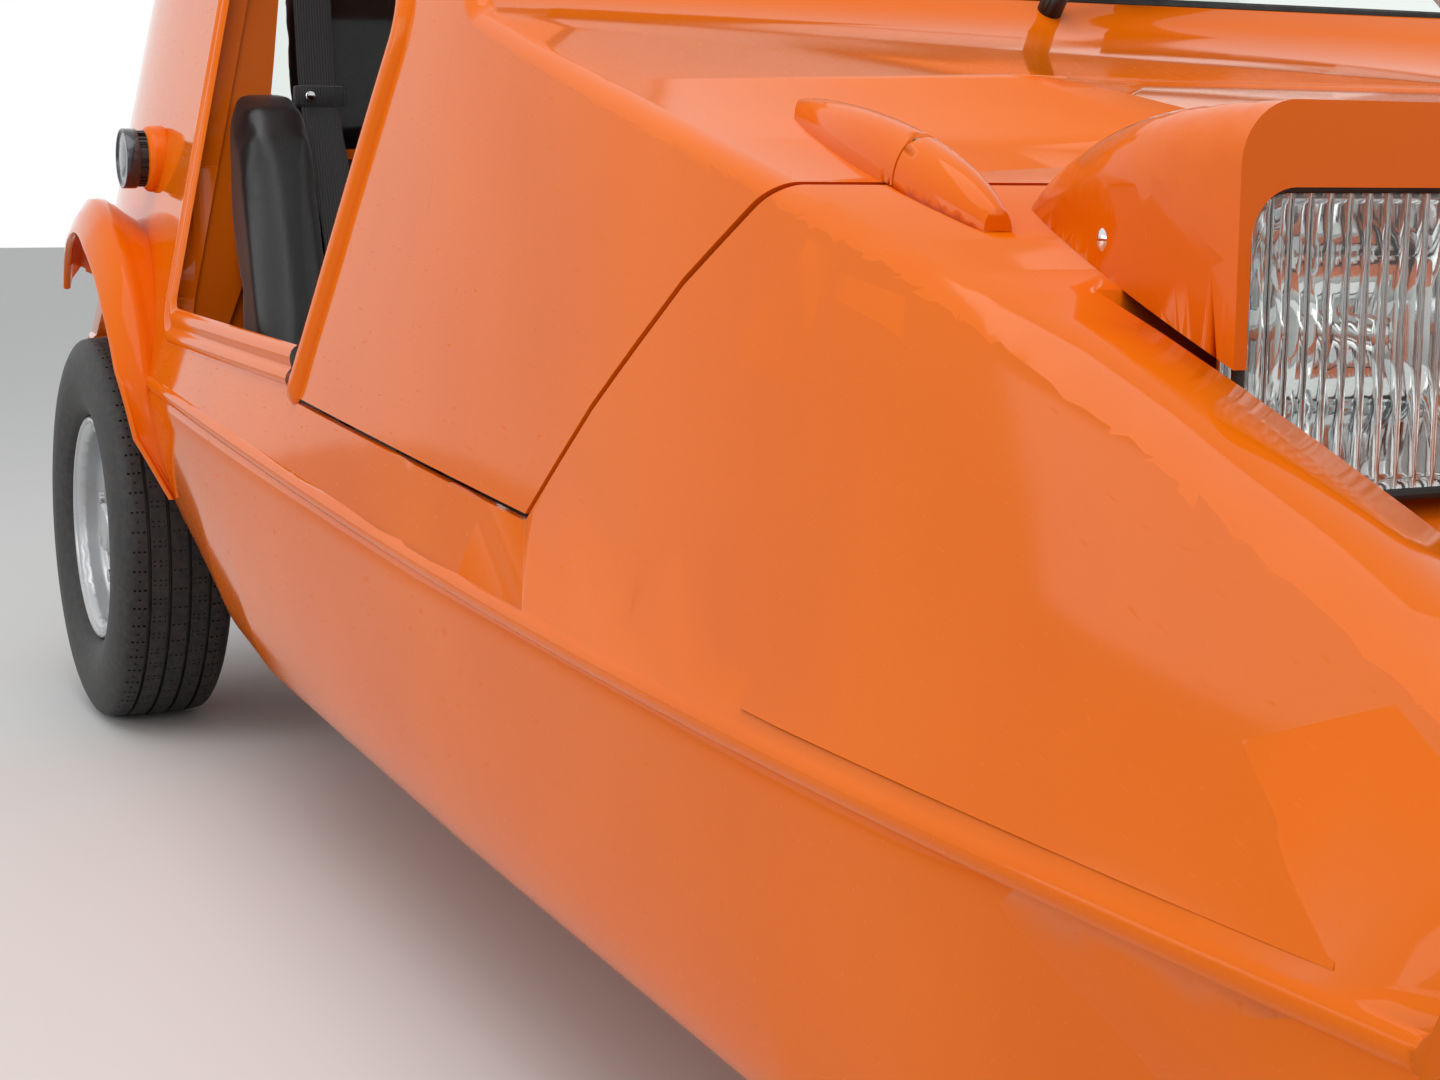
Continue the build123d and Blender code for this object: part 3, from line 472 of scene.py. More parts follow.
def acrylic(name, hex_colour):
    # Moulded acrylic lamp lens: deep clear colour over fine ribs 2 mm apart.
    if name in bpy.data.materials:
        return bpy.data.materials[name]
    material, tree, shader = new_material(name)
    place = add_node(tree, "ShaderNodeTexCoord", {}, out="Object")
    ribs = add_node(tree, "ShaderNodeTexWave", {"Vector": place, "Scale": WAVE / (2 * MM)}, out=1,
                    bands_direction="Z")
    ribs = add_node(tree, "ShaderNodeBump", {"Height": ribs, "Distance": 0.6 * MM})
    fill(tree, shader, {"Base Color": linear(hex_colour), "Roughness": 0.08, "Transmission Weight": 0.35,
                        "Coat Weight": 1.0, "Normal": ribs})
    return material


def glass():
    # Float glass: clear with a trace of green, mirror-smooth.
    name = "Float glass"
    if name in bpy.data.materials:
        return bpy.data.materials[name]
    material, tree, shader = new_material(name)
    fill(tree, shader, {"Base Color": linear("EDF5F1"), "Roughness": 0.0, "Transmission Weight": 1.0})
    return material


# Operators: the CAD's own shapes

# Height of the bead along the car's side, by x
BEAD_X = (-1.37, -0.7, -0.3, 0.3, 0.9, 1.41)
BEAD_Z = (0.460, 0.453, 0.432, 0.398, 0.380, 0.373)
SHELL = ("nose_moulding", "rear_moulding", "sill_left", "sill_right", "canopy_front_shell", "canopy_roof_shell")
# Corners that the sides are fitted to: how far from the bead's middle, and how far out
FIT_MARGIN, FIT_OUT = 0.0105, 0.4
# Faces that are shaded by the fit: the same, and how far off it their corners may be
SHADE_MARGIN, SHADE_OUT, SHADE_OFF = 0.007, 0.35, 0.0012


def read(items, field, width=3, kind=np.float32):
    """One field of all items of a mesh, as rows."""
    values = np.empty(len(items) * width, kind)
    items.foreach_get(field, values)
    values = values.astype(float) if kind is np.float32 else values
    return values.reshape(-1, width) if width > 1 else values


class Corners:
    """A mesh's face corners as arrays: places, normals, vertices and where each face's corners start."""

    def __init__(self, mesh):
        self.vertex = read(mesh.loops, "vertex_index", 1, np.int32)
        self.spots = read(mesh.vertices, "co")[self.vertex]
        self.normals = read(mesh.corner_normals, "vector")
        self.starts = read(mesh.polygons, "loop_start", 1, np.int32)
        self.totals = read(mesh.polygons, "loop_total", 1, np.int32)
        self.after = np.arange(len(self.vertex)) + 1
        self.after[self.starts + self.totals - 1] = self.starts


class SideSurface:
    """Smooth surface |y| = P(x, z) fitted through the outer side of the shell, above or below the bead."""

    def __init__(self, panels, above):
        self.above = above
        spots = np.concatenate([self.outer_corners(panel.data) for panel in panels])
        keep = np.ones(len(spots), bool)
        # Fitted anew each time, without the corners that lay further off than the limit
        for limit in (0.006, 0.002, 0.0008, 0.0005):
            self.terms = np.linalg.lstsq(self.basis(spots[keep, 0], spots[keep, 2]), spots[keep, 1], rcond=None)[0]
            keep = np.abs(self.height(spots[:, 0], spots[:, 2]) - spots[:, 1]) < limit

    def in_zone(self, x, z, margin=FIT_MARGIN):
        bead = np.interp(x, BEAD_X, BEAD_Z)
        return z > bead + margin if self.above else z < bead - margin

    def outer_corners(self, mesh):
        corners = Corners(mesh)
        centre, normal = read(mesh.polygons, "center"), read(mesh.polygons, "normal")
        # Under the bead the side turns down, so its faces needn't look as straight sideways
        sideways = 0.8 if self.above else 0.3
        outer = (normal[:, 1] * np.sign(centre[:, 1]) > sideways) & (abs(centre[:, 1]) > FIT_OUT)
        spots = corners.spots[np.repeat(outer, corners.totals)]
        spots[:, 1] = np.abs(spots[:, 1])
        return spots[self.in_zone(spots[:, 0], spots[:, 2])]

    def basis(self, x, z):
        """Terms of the polynomial, with x and z brought to about -1 to 1."""
        u, v = np.asarray(x) / 1.4, (np.asarray(z) - 0.6) / 0.6
        return np.stack([u ** i * v ** j for i in range(7) for j in range(4)], axis=-1)

    def height(self, x, z):
        return self.basis(x, z) @ self.terms

    def normal(self, spots):
        x, y, z = spots.T
        step = 0.002
        slope_x = (self.height(x + step, z) - self.height(x - step, z)) / (2 * step)
        slope_z = (self.height(x, z + step) - self.height(x, z - step)) / (2 * step)
        out = np.stack([-slope_x, np.sign(y), -slope_z], axis=-1)
        return out / np.linalg.norm(out, axis=-1, keepdims=True)

    def faces(self, mesh, corners):
        """True for each face of the mesh that lies close to this surface and faces with it."""
        centre, normal = read(mesh.polygons, "center"), read(mesh.polygons, "normal")
        spots, starts = corners.spots, corners.starts
        off = np.abs(self.height(spots[:, 0], spots[:, 2]) - np.abs(spots[:, 1]))
        inside = self.in_zone(spots[:, 0], spots[:, 2], SHADE_MARGIN)
        # A sliver's own normal is loose, so it counts for less
        edge = np.linalg.norm(spots[corners.after] - spots, axis=1)
        sliver = read(mesh.polygons, "area", 1) < 0.02 * np.maximum.reduceat(edge, starts) ** 2
        agrees = np.sum(self.normal(centre) * normal, axis=1) > np.where(sliver, 0.2, 0.97)
        return (np.maximum.reduceat(off, starts) < SHADE_OFF) & np.minimum.reduceat(inside, starts) & agrees \
            & (np.abs(centre[:, 1]) > SHADE_OUT)


def patch_normals(mesh):
    """Corner normals of the surface that a coarse mesh's vertices lie on: a curved patch fitted at each vertex."""
    corners = Corners(mesh)
    keys = np.column_stack([corners.vertex, np.round(corners.normals, 4)])
    first, group = np.unique(keys, axis=0, return_index=True, return_inverse=True)[1:]
    group = group.ravel()
    loops = np.arange(len(group))
    here = np.concatenate([loops, corners.after])
    there = np.concatenate([corners.after, loops])
    normal = corners.normals[first]
    # Neighbours over a sharp edge don't count
    close = np.sum(corners.normals[here] * corners.normals[there], axis=1) > 0.6
    here, there = here[close], there[close]
    owner = group[here]
    away = corners.spots[there] - corners.spots[here]
    far = np.linalg.norm(away, axis=1)
    count = len(first)
    size = (np.bincount(owner, far, count) / np.maximum(np.bincount(owner, minlength=count), 1))[owner] + 1e-6
    helper = np.where(np.abs(normal[:, 2:]) < 0.9, (0.0, 0.0, 1.0), (1.0, 0.0, 0.0))
    across = np.cross(normal, helper)
    across /= np.linalg.norm(across, axis=1, keepdims=True)
    along = np.cross(normal, across)
    u, v, height = (np.sum(away * axis[owner], axis=1) for axis in (across, along, normal))
    weight = 1 / (far + 0.3 * size)
    terms = np.stack([u, v, u * u / size, u * v / size, v * v / size], axis=1) * weight[:, None]
    matrix = np.empty((count, 5, 5))
    right = np.empty((count, 5))
    for i in range(5):
        right[:, i] = np.bincount(owner, terms[:, i] * height * weight, count)
        for j in range(5):
            matrix[:, i, j] = np.bincount(owner, terms[:, i] * terms[:, j], count)
    # A little stiffness, mostly against curving, keeps a patch with few neighbours level
    stiffness = np.diag((1e-4, 1e-4, 3e-3, 3e-3, 3e-3))
    slopes = np.linalg.solve(matrix + stiffness, right[:, :, None])[:, :, 0]
    turned = normal - slopes[:, :1] * across - slopes[:, 1:2] * along
    turned /= np.linalg.norm(turned, axis=1, keepdims=True)
    sound = np.sum(turned * normal, axis=1) > 0.9
    return np.where(sound[:, None], turned, normal)[group]


# Mouldings whose narrow facets are evened out
EVENED = ("nose_moulding", "headlamp_cowls")
# Skins on the sides of the nose: reach along x, height of the top edge by x, and how far the lower edge is above
# the bead's middle, the skin proud of the fitted side, and its sunken edges under it
CHEEK_REACH = (0.86, 1.33)
CHEEK_X = (0.86, 1.0, 1.034, 1.137, 1.2, 1.244, 1.273, 1.30, 1.33)
CHEEK_TOP = (0.63, 0.598, 0.584, 0.546, 0.508, 0.478, 0.453, 0.430, 0.405)
CHEEK_GAP, CHEEK_PROUD, CHEEK_SUNK = 0.017, 0.001, 0.0006
# Centre of the rear wheels in x and z, and radius of the arch over them
AXLE = (-1.0, 0.267)
ARCH_RADIUS = 0.338
# The flanks below the bead: reach and step along x, and how far their top is under the bead's middle; then by x,
# how wide and high the floor edge of the full section and of the plain one is, in mm
FLANK_START, FLANK_END, FLANK_STEP, FLANK_GAP = -0.675, 1.336, 0.0125, 0.0085
FLANK_X = (-0.7, -0.45, -0.3, 0.3, 0.9, 1.2, 1.375)
FLANK_ROWS = ((500, 560, 575, 590, 600, 572, 532), (195, 172, 165, 155, 150, 165, 186),
              (420, 457, 480, 545, 552, 540, 530), (215, 203, 192, 172, 182, 186, 190))
# Where the full section starts to turn into the plain one, and over what length
BLEND_START, BLEND_LENGTH = 1.02, 0.30
# Sections of the rolled edges: how far from the opening's edge and how proud of the side, in mm
OPENING_ROLL = ((0.5, -6), (-0.5, 0), (1, 3.2), (5, 5), (10, 5), (14, 2.6), (16, 1.2), (18, 1.4), (22, 3.2),
                (27, 4.2), (32, 3.4), (35, 1.2), (37, -1.5))
CANOPY_ROLL = ((1, -8), (-2.5, -3), (-4, 1.5), (-2.5, 5), (2, 7.4), (8, 8), (14, 7), (19, 4.6), (22, 2),
               (23.5, 0.3), (24.5, -1.5))
# The rolled edges' names, bodies, corners in x and z, the corners' radii, sections, and rows until an end is full
ROLLS = (("opening_roll", "body", ((-0.094, 0.4995), (-0.668, 0.505), (-0.690, 0.900), (-0.686, 0.960)),
          (0.055, 0.3), OPENING_ROLL, 0),
         ("canopy_roll", "canopy", ((-0.086, 0.488), (0.090, 0.830), (-0.180, 1.108), (-0.240, 1.167)),
          (0.045, 0.04), CANOPY_ROLL, 2.5))
# The jambs behind the opening, by height: where the opening's edge is, and how far out their inner edge is
EDGE_Z, EDGE_X = (0.505, 0.9, 0.96, 1.16), (-0.674, -0.696, -0.692, -0.692)
JAMB_Z = (0.51, 0.60, 0.80, 0.92, 1.0, 1.15)
JAMB_INNER = (0.565, 0.530, 0.500, 0.486, 0.480, 0.472)
# Thickness of the jambs and of the panels behind the seats
PANEL = 4 * MM
# Mudguard by angle up from straight ahead: how far out the lip is, crown and lip radius, in mm
GUARD_ANGLES = (3, 10, 21, 35, 50, 72, 87, 108, 130)
GUARD_ROWS = ((622, 645, 677, 689, 690, 687, 679, 669, 654), (342, 344, 349, 364, 380, 390, 392, 392, 390),
              (338, 340, 342, 346, 349, 350, 350, 349, 347))


def even_out(mesh, rounds=18):
    """Evens out the true normals along the nose's strips of narrow facets; flat faces keep theirs."""
    corners = Corners(mesh)
    data = mesh.attributes["true_normal"].data
    normals = read(data, "vector")
    faces = np.repeat(read(mesh.polygons, "normal"), corners.totals, axis=0)
    # Least cosines between the normals of a flat face, of neighbours along a face, and of corners at one vertex
    flat_face, neighbours, sharing = 0.9997, 0.85, 0.93
    flat = np.minimum.reduceat(np.sum(normals * faces, axis=1), corners.starts) > flat_face
    x, z = corners.spots[:, 0], corners.spots[:, 2]
    held = (np.repeat(flat, corners.totals) | (x < 0.6) | (z < np.interp(x, BEAD_X, BEAD_Z) + 0.03))[:, None]
    order = np.argsort(corners.vertex, kind="stable")
    for _ in range(rounds):
        # Each corner leans towards its neighbours along the face, then towards the others at its vertex
        total = normals.copy()
        close = np.sum(normals * normals[corners.after], axis=1) > neighbours
        here = np.flatnonzero(close)
        np.add.at(total, here, normals[corners.after[here]] * 0.5)
        np.add.at(total, corners.after[here], normals[here] * 0.5)
        total /= np.maximum(np.linalg.norm(total, axis=1, keepdims=True), 1e-9)
        total = np.where(held, normals, total)
        joined = total.copy()
        for step in range(1, 10):
            first, second = order[:-step], order[step:]
            same = (corners.vertex[first] == corners.vertex[second]) \
                & (np.sum(normals[first] * normals[second], axis=1) > sharing)
            first, second = first[same], second[same]
            np.add.at(joined, first, total[second])
            np.add.at(joined, second, total[first])
        joined /= np.maximum(np.linalg.norm(joined, axis=1, keepdims=True), 1e-9)
        normals = np.where(held, normals, joined)
    data.foreach_set("vector", normals.astype(np.float32).ravel())


class MICROCAR_OT_panels(bpy.types.Operator):
    """Smooth, painted copies of the shell's panels, in place of the faceted ones"""
    bl_idname = "microcar.panels"
    bl_label = "Body panels"

    def execute(self, context):
        panels = {node: node_copy(node, node + "_skin") for node in PAINTED}
        shells = [panels[node] for node in SHELL]
        surfaces = [SideSurface(shells, True), SideSurface(shells, False)]
        for node, panel in panels.items():
            finish_mesh(panel, panel.name, gelcoat(), BODY_OF[node], angle=24)
            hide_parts(node)
            store = panel.data.attributes.new("true_normal", "FLOAT_VECTOR", "CORNER")
            store.data.foreach_set("vector", patch_normals(panel.data).ravel())
            if node in EVENED:
                even_out(panel.data)
            if panel in shells:
                for surface in surfaces:
                    self.refine(panel, surface.faces(panel.data, Corners(panel.data)))
            self.set_normals(panel, surfaces)
        self.lower_sides(surfaces[1])
        self.cheeks(surfaces[0])
        self.jambs(surfaces[0])
        self.rolls(surfaces[0])
        self.guards()
        return {"FINISHED"}

    def lower_sides(self, surface):
        """The full, rounded flanks under the bead, from the nose to the rear wheel arch."""
        for side, label in SIDES:
            columns = [[self.arch_limit(x, y * side, z) for y, z in self.flank(x, surface)]
                       for x in np.arange(FLANK_START, FLANK_END, FLANK_STEP)]
            painted_sheet("flank_" + label, columns, (0, side, 0))

    def arch_limit(self, x, y, z):
        """Draws the last 150 mm of the flank back to the round edge of the wheel arch."""
        arch = AXLE[0] + math.sqrt(max(0.0, ARCH_RADIUS ** 2 - (z - AXLE[1]) ** 2))
        pull = max(0.0, 1 - (x - FLANK_START) / 0.15)
        return (x + (arch - FLANK_START) * pull, y, z)

    def flank(self, x, surface):
        """Section of the flank: from under the bead, down and round to the floor, y and z."""
        top_z = float(np.interp(x, BEAD_X, BEAD_Z)) - FLANK_GAP
        top_y = float(surface.height(x, top_z - 0.002))
        full_y, full_z, plain_y, plain_z = (float(np.interp(x, FLANK_X, row)) * MM for row in FLANK_ROWS)
        blend = min(1.0, max(0.0, (x - BLEND_START) / BLEND_LENGTH))
        blend = blend * blend * (3 - 2 * blend)
        full = ((top_y, top_z), (top_y - 0.006, full_z + 0.3 * (top_z - full_z)), (full_y + 0.06, full_z),
                (full_y, full_z))
        # The plain section's control point, off the middle of its chord by this share of the chord's length
        out = 0.26
        belly = ((top_y + plain_y) / 2 + out * (top_z - plain_z), (top_z + plain_z) / 2 - out * (top_y - plain_y))
        plain = ((top_y, top_z), belly, (plain_y, plain_z))
        points = [(top_y - 0.003, top_z + 0.004)]
        for number in range(25):
            t = number / 24
            insets = (-0.005 * blend, 0.005 * blend * t)
            points.append(tuple(a + (b - a) * blend + inset
                                for a, b, inset in zip(bezier(full, t), bezier(plain, t), insets)))
        return points + [(full_y - 0.04, full_z + 0.002), (0.38, plain_z - 0.002), (0.37, plain_z + 0.004)]

    def cheeks(self, surface):
        """Smooth skins over the sides of the nose, between the bead and the edge of the deck."""
        start, end = CHEEK_REACH
        for side, label in SIDES:
            columns = []
            for x in np.arange(start, end + 0.001, 0.01):
                low, high = float(np.interp(x, BEAD_X, BEAD_Z)) + CHEEK_GAP, float(np.interp(x, CHEEK_X, CHEEK_TOP))
                column = []
                for share in np.linspace(0, 1, 21):
                    z = low + (high - low) * share
                    # The skin rises over its outer eighths, its first 80 mm and its last 60 mm
                    risen = max(0, min(share * 8, (1 - share) * 8, (x - start) / 0.08, (end + 0.005 - x) / 0.06, 1))
                    proud = (CHEEK_PROUD + CHEEK_SUNK) * risen - CHEEK_SUNK
                    column.append((x, side * (float(surface.height(x, z)) + proud), z))
                columns.append(column)
            cheek = painted_sheet("cheek_" + label, columns, (0, side, 0))
            cheek.data.normals_split_custom_set(surface.normal(Corners(cheek.data).spots).tolist())

    def jambs(self, surface):
        """Painted jambs that run inboard, and 10 mm back, from the opening's rear edge."""
        for side, label in SIDES:
            rows = []
            for z in np.linspace(0.512, 1.15, 24):
                x, inner = float(np.interp(z, EDGE_Z, EDGE_X)), float(np.interp(z, JAMB_Z, JAMB_INNER))
                outer = float(surface.height(x, z)) - 0.003
                rows.append([(x - 0.010 * share, side * (outer + (inner - outer) * share), z)
                             for share in (0, 0.1, 0.5, 0.9, 1)])
            painted_sheet("jamb_" + label, rows, (1, 0, 0), angle=35, thick=PANEL)

    def rolls(self, surface):
        """Rolled edges: a double roll round the cabin opening and a fat one down the canopy's edge."""
        for side, label in SIDES:
            for name, body, corners, radii, section, rising in ROLLS:
                rows = []
                for number, (spot, aside) in enumerate(rounded_path(corners, radii)):
                    share = min(1.0, number / rising) if rising else 1.0
                    rows.append(self.roll_row(spot, -aside, section, surface, side, share))
                painted_sheet(name + "_" + label, rows, (0, side, 0), body)

    def roll_row(self, spot, aside, section, surface, side, share):
        """One cross-section of a roll on the shell's side; share shrinks it towards a rounded, sunken end."""
        share = math.sqrt(1 - (1 - share) ** 2)
        centre = (section[0][0] + section[-1][0]) / 2
        row = []
        for offset, height in section:
            x, z = spot + aside * (centre + (offset - centre) * max(share, 0.05)) * MM
            row.append((x, side * (float(surface.height(x, z)) + (height * share - 1.5 * (1 - share)) * MM), z))
        return row

    def guards(self):
        """Rear mudguards: a domed crown with a crease, a sloping face and a rolled lip."""
        for side, label in SIDES:
            rows = []
            for angle in np.arange(9, 131, 2):
                edge, crown, lip = (float(np.interp(angle, GUARD_ANGLES, row)) for row in GUARD_ROWS)
                fall = float(np.interp(angle, (22, 55), (0, 1)))
                # Radius and distance out, in mm, from the body over the crown, round the lip and back inside
                section = ((crown - 8 - 38 * fall, 560), (crown - 6 - 24 * fall, 598), (crown - 5 - 10 * fall, 622),
                           (crown - 5 - 2 * fall, edge - 48), (crown - 5, edge - 43), (crown - 1, edge - 38),
                           (crown, edge - 30), (crown - 1, edge - 22), ((crown + lip) / 2, edge - 8),
                           (lip + 8, edge - 3), (lip + 4, edge), (lip, edge), (lip - 2, edge - 4), (lip, edge - 9),
                           (lip + 4, edge - 10), ((crown + lip) / 2 - 5, edge - 14), (crown - 7, edge - 28),
                           (crown - 13 - 38 * fall, 560))
                turn = math.radians(angle)
                rows.append([(AXLE[0] + radius * MM * math.cos(turn), side * y * MM,
                              AXLE[1] + radius * MM * math.sin(turn)) for radius, y in section])
            guard = painted_sheet("mudguard_%s_shape" % label, rows, (0, side, 0), angle=50)
            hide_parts("mudguard_" + label)

    def refine(self, panel, chosen):
        """Divides the chosen facets that are over 40 mm long, so that their shading can follow the true surface."""
        start_edit(panel, "FACE")
        bpy.ops.mesh.select_all(action="DESELECT")
        mesh = bmesh.from_edit_mesh(panel.data)
        for face in mesh.faces:
            if chosen[face.index] and max(edge.calc_length() for edge in face.edges) > 0.04:
                face.select_set(True)
        bmesh.update_edit_mesh(panel.data)
        bpy.ops.mesh.subdivide(number_cuts=4)
        end_edit()

    def set_normals(self, panel, surfaces):
        """Shades the wide sides by the fitted surfaces, with what runs into them, and the rest by its patches."""
        mesh = panel.data
        corners = Corners(mesh)
        normals = read(mesh.attributes["true_normal"].data, "vector")
        normals /= np.maximum(np.linalg.norm(normals, axis=1, keepdims=True), 1e-9)
        mesh.attributes.remove(mesh.attributes["true_normal"])
        for surface in surfaces:
            true = surface.normal(corners.spots)
            lies_on = np.repeat(surface.faces(mesh, corners), corners.totals)
            touched = np.zeros(len(mesh.vertices), bool)
            touched[corners.vertex[lies_on]] = True
            runs_in = touched[corners.vertex] & (np.sum(normals * true, axis=1) > 0.96)
            chosen = lies_on | runs_in
            normals[chosen] = true[chosen]
        mesh.normals_split_custom_set(normals.tolist())


class MICROCAR_OT_finishes(bpy.types.Operator):
    """Materials for every CAD node that stays visible"""
    bl_idname = "microcar.finishes"
    bl_label = "Finishes of the frame"

    def execute(self, context):
        finishes = {
            "black_plastic": moulded_black(), "black_steel": stove_enamel(), "cast_iron": cast_iron(),
            "bare_steel": drawn_steel(), "lamp_chrome": chrome(), "clear_glass": glass(),
            "red_lens": acrylic("Red acrylic", "8E0A08"), "amber_lens": acrylic("Amber acrylic", "D2690A"),
            "body_paint": gelcoat(), "belt_webbing": seal_rubber(), "seat_vinyl": moulded_black(),
            "tyre_rubber": seal_rubber(), "wheel_silver": wheel_enamel(),
        }
        for part in frame["record"]["subparts"]:
            mesh = frame["nodes"][part["node"]].data
            mesh.materials.clear()
            mesh.materials.append(finishes[part["material_slot"]])
        return {"FINISHED"}


# Operators: new pieces

def select_faces(obj, test):
    """In edit mode, selects only the faces for which test(centre, normal) holds."""
    bpy.ops.mesh.select_mode(type="FACE")
    bpy.ops.mesh.select_all(action="DESELECT")
    mesh = bmesh.from_edit_mesh(obj.data)
    for face in mesh.faces:
        if test(face.calc_center_median(), face.normal):
            face.select_set(True)
    bmesh.update_edit_mesh(obj.data)


def bevel_all(obj, width, segments=2, angle=30):
    use_modifier(obj, "BEVEL", width=width, segments=segments, limit_method="ANGLE",
                 angle_limit=math.radians(angle), harden_normals=False)


def box_piece(name, low, high):
    """A cube stretched between two corners."""
    deselect()
    bpy.ops.mesh.primitive_cube_add(size=1, location=[(a + b) / 2 for a, b in zip(low, high)])
    bpy.context.object.scale = [b - a for a, b in zip(low, high)]
    return placed(name)


def disc_piece(name, centre, radius, depth, axis="Y", sides=48):
    """A round bar of the given depth, centred, along X, Y or Z."""
    deselect()
    turn = {"X": (0, math.radians(90), 0), "Y": (math.radians(90), 0, 0), "Z": (0, 0, 0)}[axis]
    bpy.ops.mesh.primitive_cylinder_add(vertices=sides, radius=radius, depth=depth, location=centre, rotation=turn)
    return placed(name)


def rounded_loop(width, height, radius, steps=8):
    """Points of a rounded rectangle about the origin, anticlockwise."""
    points = []
    for corner, (sx, sy) in enumerate(((1, 1), (-1, 1), (-1, -1), (1, -1))):
        for step in range(steps + 1):
            angle = math.radians(90 * corner + 90 * step / steps)
            points.append((sx * (width / 2 - radius) + radius * math.cos(angle),
                           sy * (height / 2 - radius) + radius * math.sin(angle)))
    return points


def tyre_rubber():
    # Moulded tyre rubber: dark grey, dull on the tread, with a dry dusty bloom in patches.
    name = "Moulded tyre rubber"
    if name in bpy.data.materials:
        return bpy.data.materials[name]
    material, tree, shader = new_material(name)
    place = add_node(tree, "ShaderNodeTexCoord", {}, out="Object")
    dust = add_node(tree, "ShaderNodeTexNoise", {"Vector": place, "Scale": 1 / (9 * MM), "Detail": 8.0,
                                                 "Roughness": 0.7})
    dust = add_node(tree, "ShaderNodeMapRange", {"Value": dust, "From Min": 0.42, "From Max": 0.78, "To Max": 0.4})
    body = add_node(tree, "ShaderNodeMix", {0: dust, 6: colour(settings().tyre.rubber), 7: linear("5A5348")},
                    out=2, data_type="RGBA")
    grain = add_node(tree, "ShaderNodeTexNoise", {"Vector": place, "Scale": 1 / (1.2 * MM)})
    grain = add_node(tree, "ShaderNodeBump", {"Height": grain, "Distance": 0.12 * MM})
    fill(tree, shader, {"Base Color": body, "Roughness": 0.58, "Normal": grain})
    return material


# Half of the tyre's section from the bead to the crown: out from the middle, and radius, in mm
TYRE_SIDE = ((46.5, 128), (47, 139.5), (48.5, 142.5), (54, 145), (58, 149), (62, 152), (62.6, 154), (64, 156),
             (68.5, 168), (71.2, 180), (72.0, 184), (72.0, 187), (72.3, 195), (71.6, 206), (69.5, 217),
             (66.5, 226), (63.5, 232), (60.5, 236.5), (57, 239.2))
TYRE_TREAD = ((51, 240.6), (45, 241.2), (38.2, 241.6), (37.8, 235.5), (34.2, 235.5), (33.8, 241.9), (27, 242.2),
              (20, 242.5), (14.2, 242.7), (13.8, 236.5), (10.2, 236.5), (9.8, 242.9), (3.5, 243))
# Distance from the axle beyond which a face is the top of a block, and not the floor of a groove
BLOCK_TOP = 0.2385
# Columns of faces that one pitch of the tread is spun into
COLUMNS = 4


class MICROCAR_OT_tyres(bpy.types.Operator):
    """Tyres with grooved, siped and pinholed treads, in place of the plain ones"""
    bl_idname = "microcar.tyres"
    bl_label = "Tyres"

    def execute(self, context):
        first = self.model()
        for node in ("front_tyre", "rear_tyre_left", "rear_tyre_right"):
            tyre = copy_mesh(first, node + "_tread")
            tyre.location = middle(node)
            finish_mesh(tyre, node + "_tread", tyre_rubber(), BODY_OF[node], angle=38)
            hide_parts(node)
        bpy.data.objects.remove(first)
        return {"FINISHED"}

    def model(self):
        """One tyre about the Y axis at the origin: one pitch of it is cut, then spun round."""
        half = TYRE_SIDE + TYRE_TREAD
        section = [(0, y * MM, r * MM) for y, r in half] + [(0, -y * MM, r * MM) for y, r in reversed(half)]
        tyre = draw_line("Tyre model", section)
        pitches = settings().tyre.pitches
        turn = math.tau / pitches
        bpy.ops.mesh.spin(steps=COLUMNS, angle=turn, center=(0, 0, 0), axis=(0, 1, 0))
        bpy.ops.mesh.select_all(action="SELECT")
        bpy.ops.mesh.remove_doubles(threshold=0.00001)
        bpy.ops.mesh.normals_make_consistent(inside=False)
        sipe = settings().tyre.sipe_depth
        # Sipes in the shoulders and ribs, then pinholes in the shoulders and the middle rib
        self.cut(tyre, turn, (0.5, 1.0), (39, 63), 0.0016, sipe)
        self.cut(tyre, turn, (1.5, 2.5), (15, 33), 0.0021, sipe * 0.7)
        self.cut(tyre, turn, (2.5, 3.0), (46, 50), 0.0017, 0.002)
        self.cut(tyre, turn, (0.4, 0.9), (0, 9), 0.0019, 0.002)
        bpy.ops.mesh.select_all(action="SELECT")
        bpy.ops.mesh.spin(steps=pitches - 1, angle=turn * (pitches - 1), dupli=True, center=(0, 0, 0), axis=(0, 1, 0))
        bpy.ops.mesh.select_all(action="SELECT")
        bpy.ops.mesh.remove_doubles(threshold=0.00004)
        bpy.ops.mesh.normals_make_consistent(inside=False)
        end_edit()
        return tyre

    def cut(self, tyre, turn, columns, reach, margin, depth):
        """Sinks the tread faces between two columns of the pitch and two distances from the middle."""
        step = turn / COLUMNS
        slack = 0.26

        def chosen(centre, normal):
            column = (math.atan2(centre.x, centre.z) % math.tau) / step
            column = min(column, abs(math.tau / step - column))
            inside = reach[0] * MM <= abs(centre.y) <= reach[1] * MM and math.hypot(centre.x, centre.z) > BLOCK_TOP
            return columns[0] - slack <= column <= columns[1] + slack and inside
        select_faces(tyre, chosen)
        bpy.ops.mesh.inset(thickness=margin, depth=0, use_individual=True)
        bpy.ops.mesh.inset(thickness=0.0002, depth=-depth, use_individual=True)


# The tyre valve's stem: x from the axle, depth behind the wheel's outer face, z from the axle
VALVE = ((0.1, 0.030, -0.02), (0.094, 0.016, -0.018), (0.088, 0.008, -0.016))


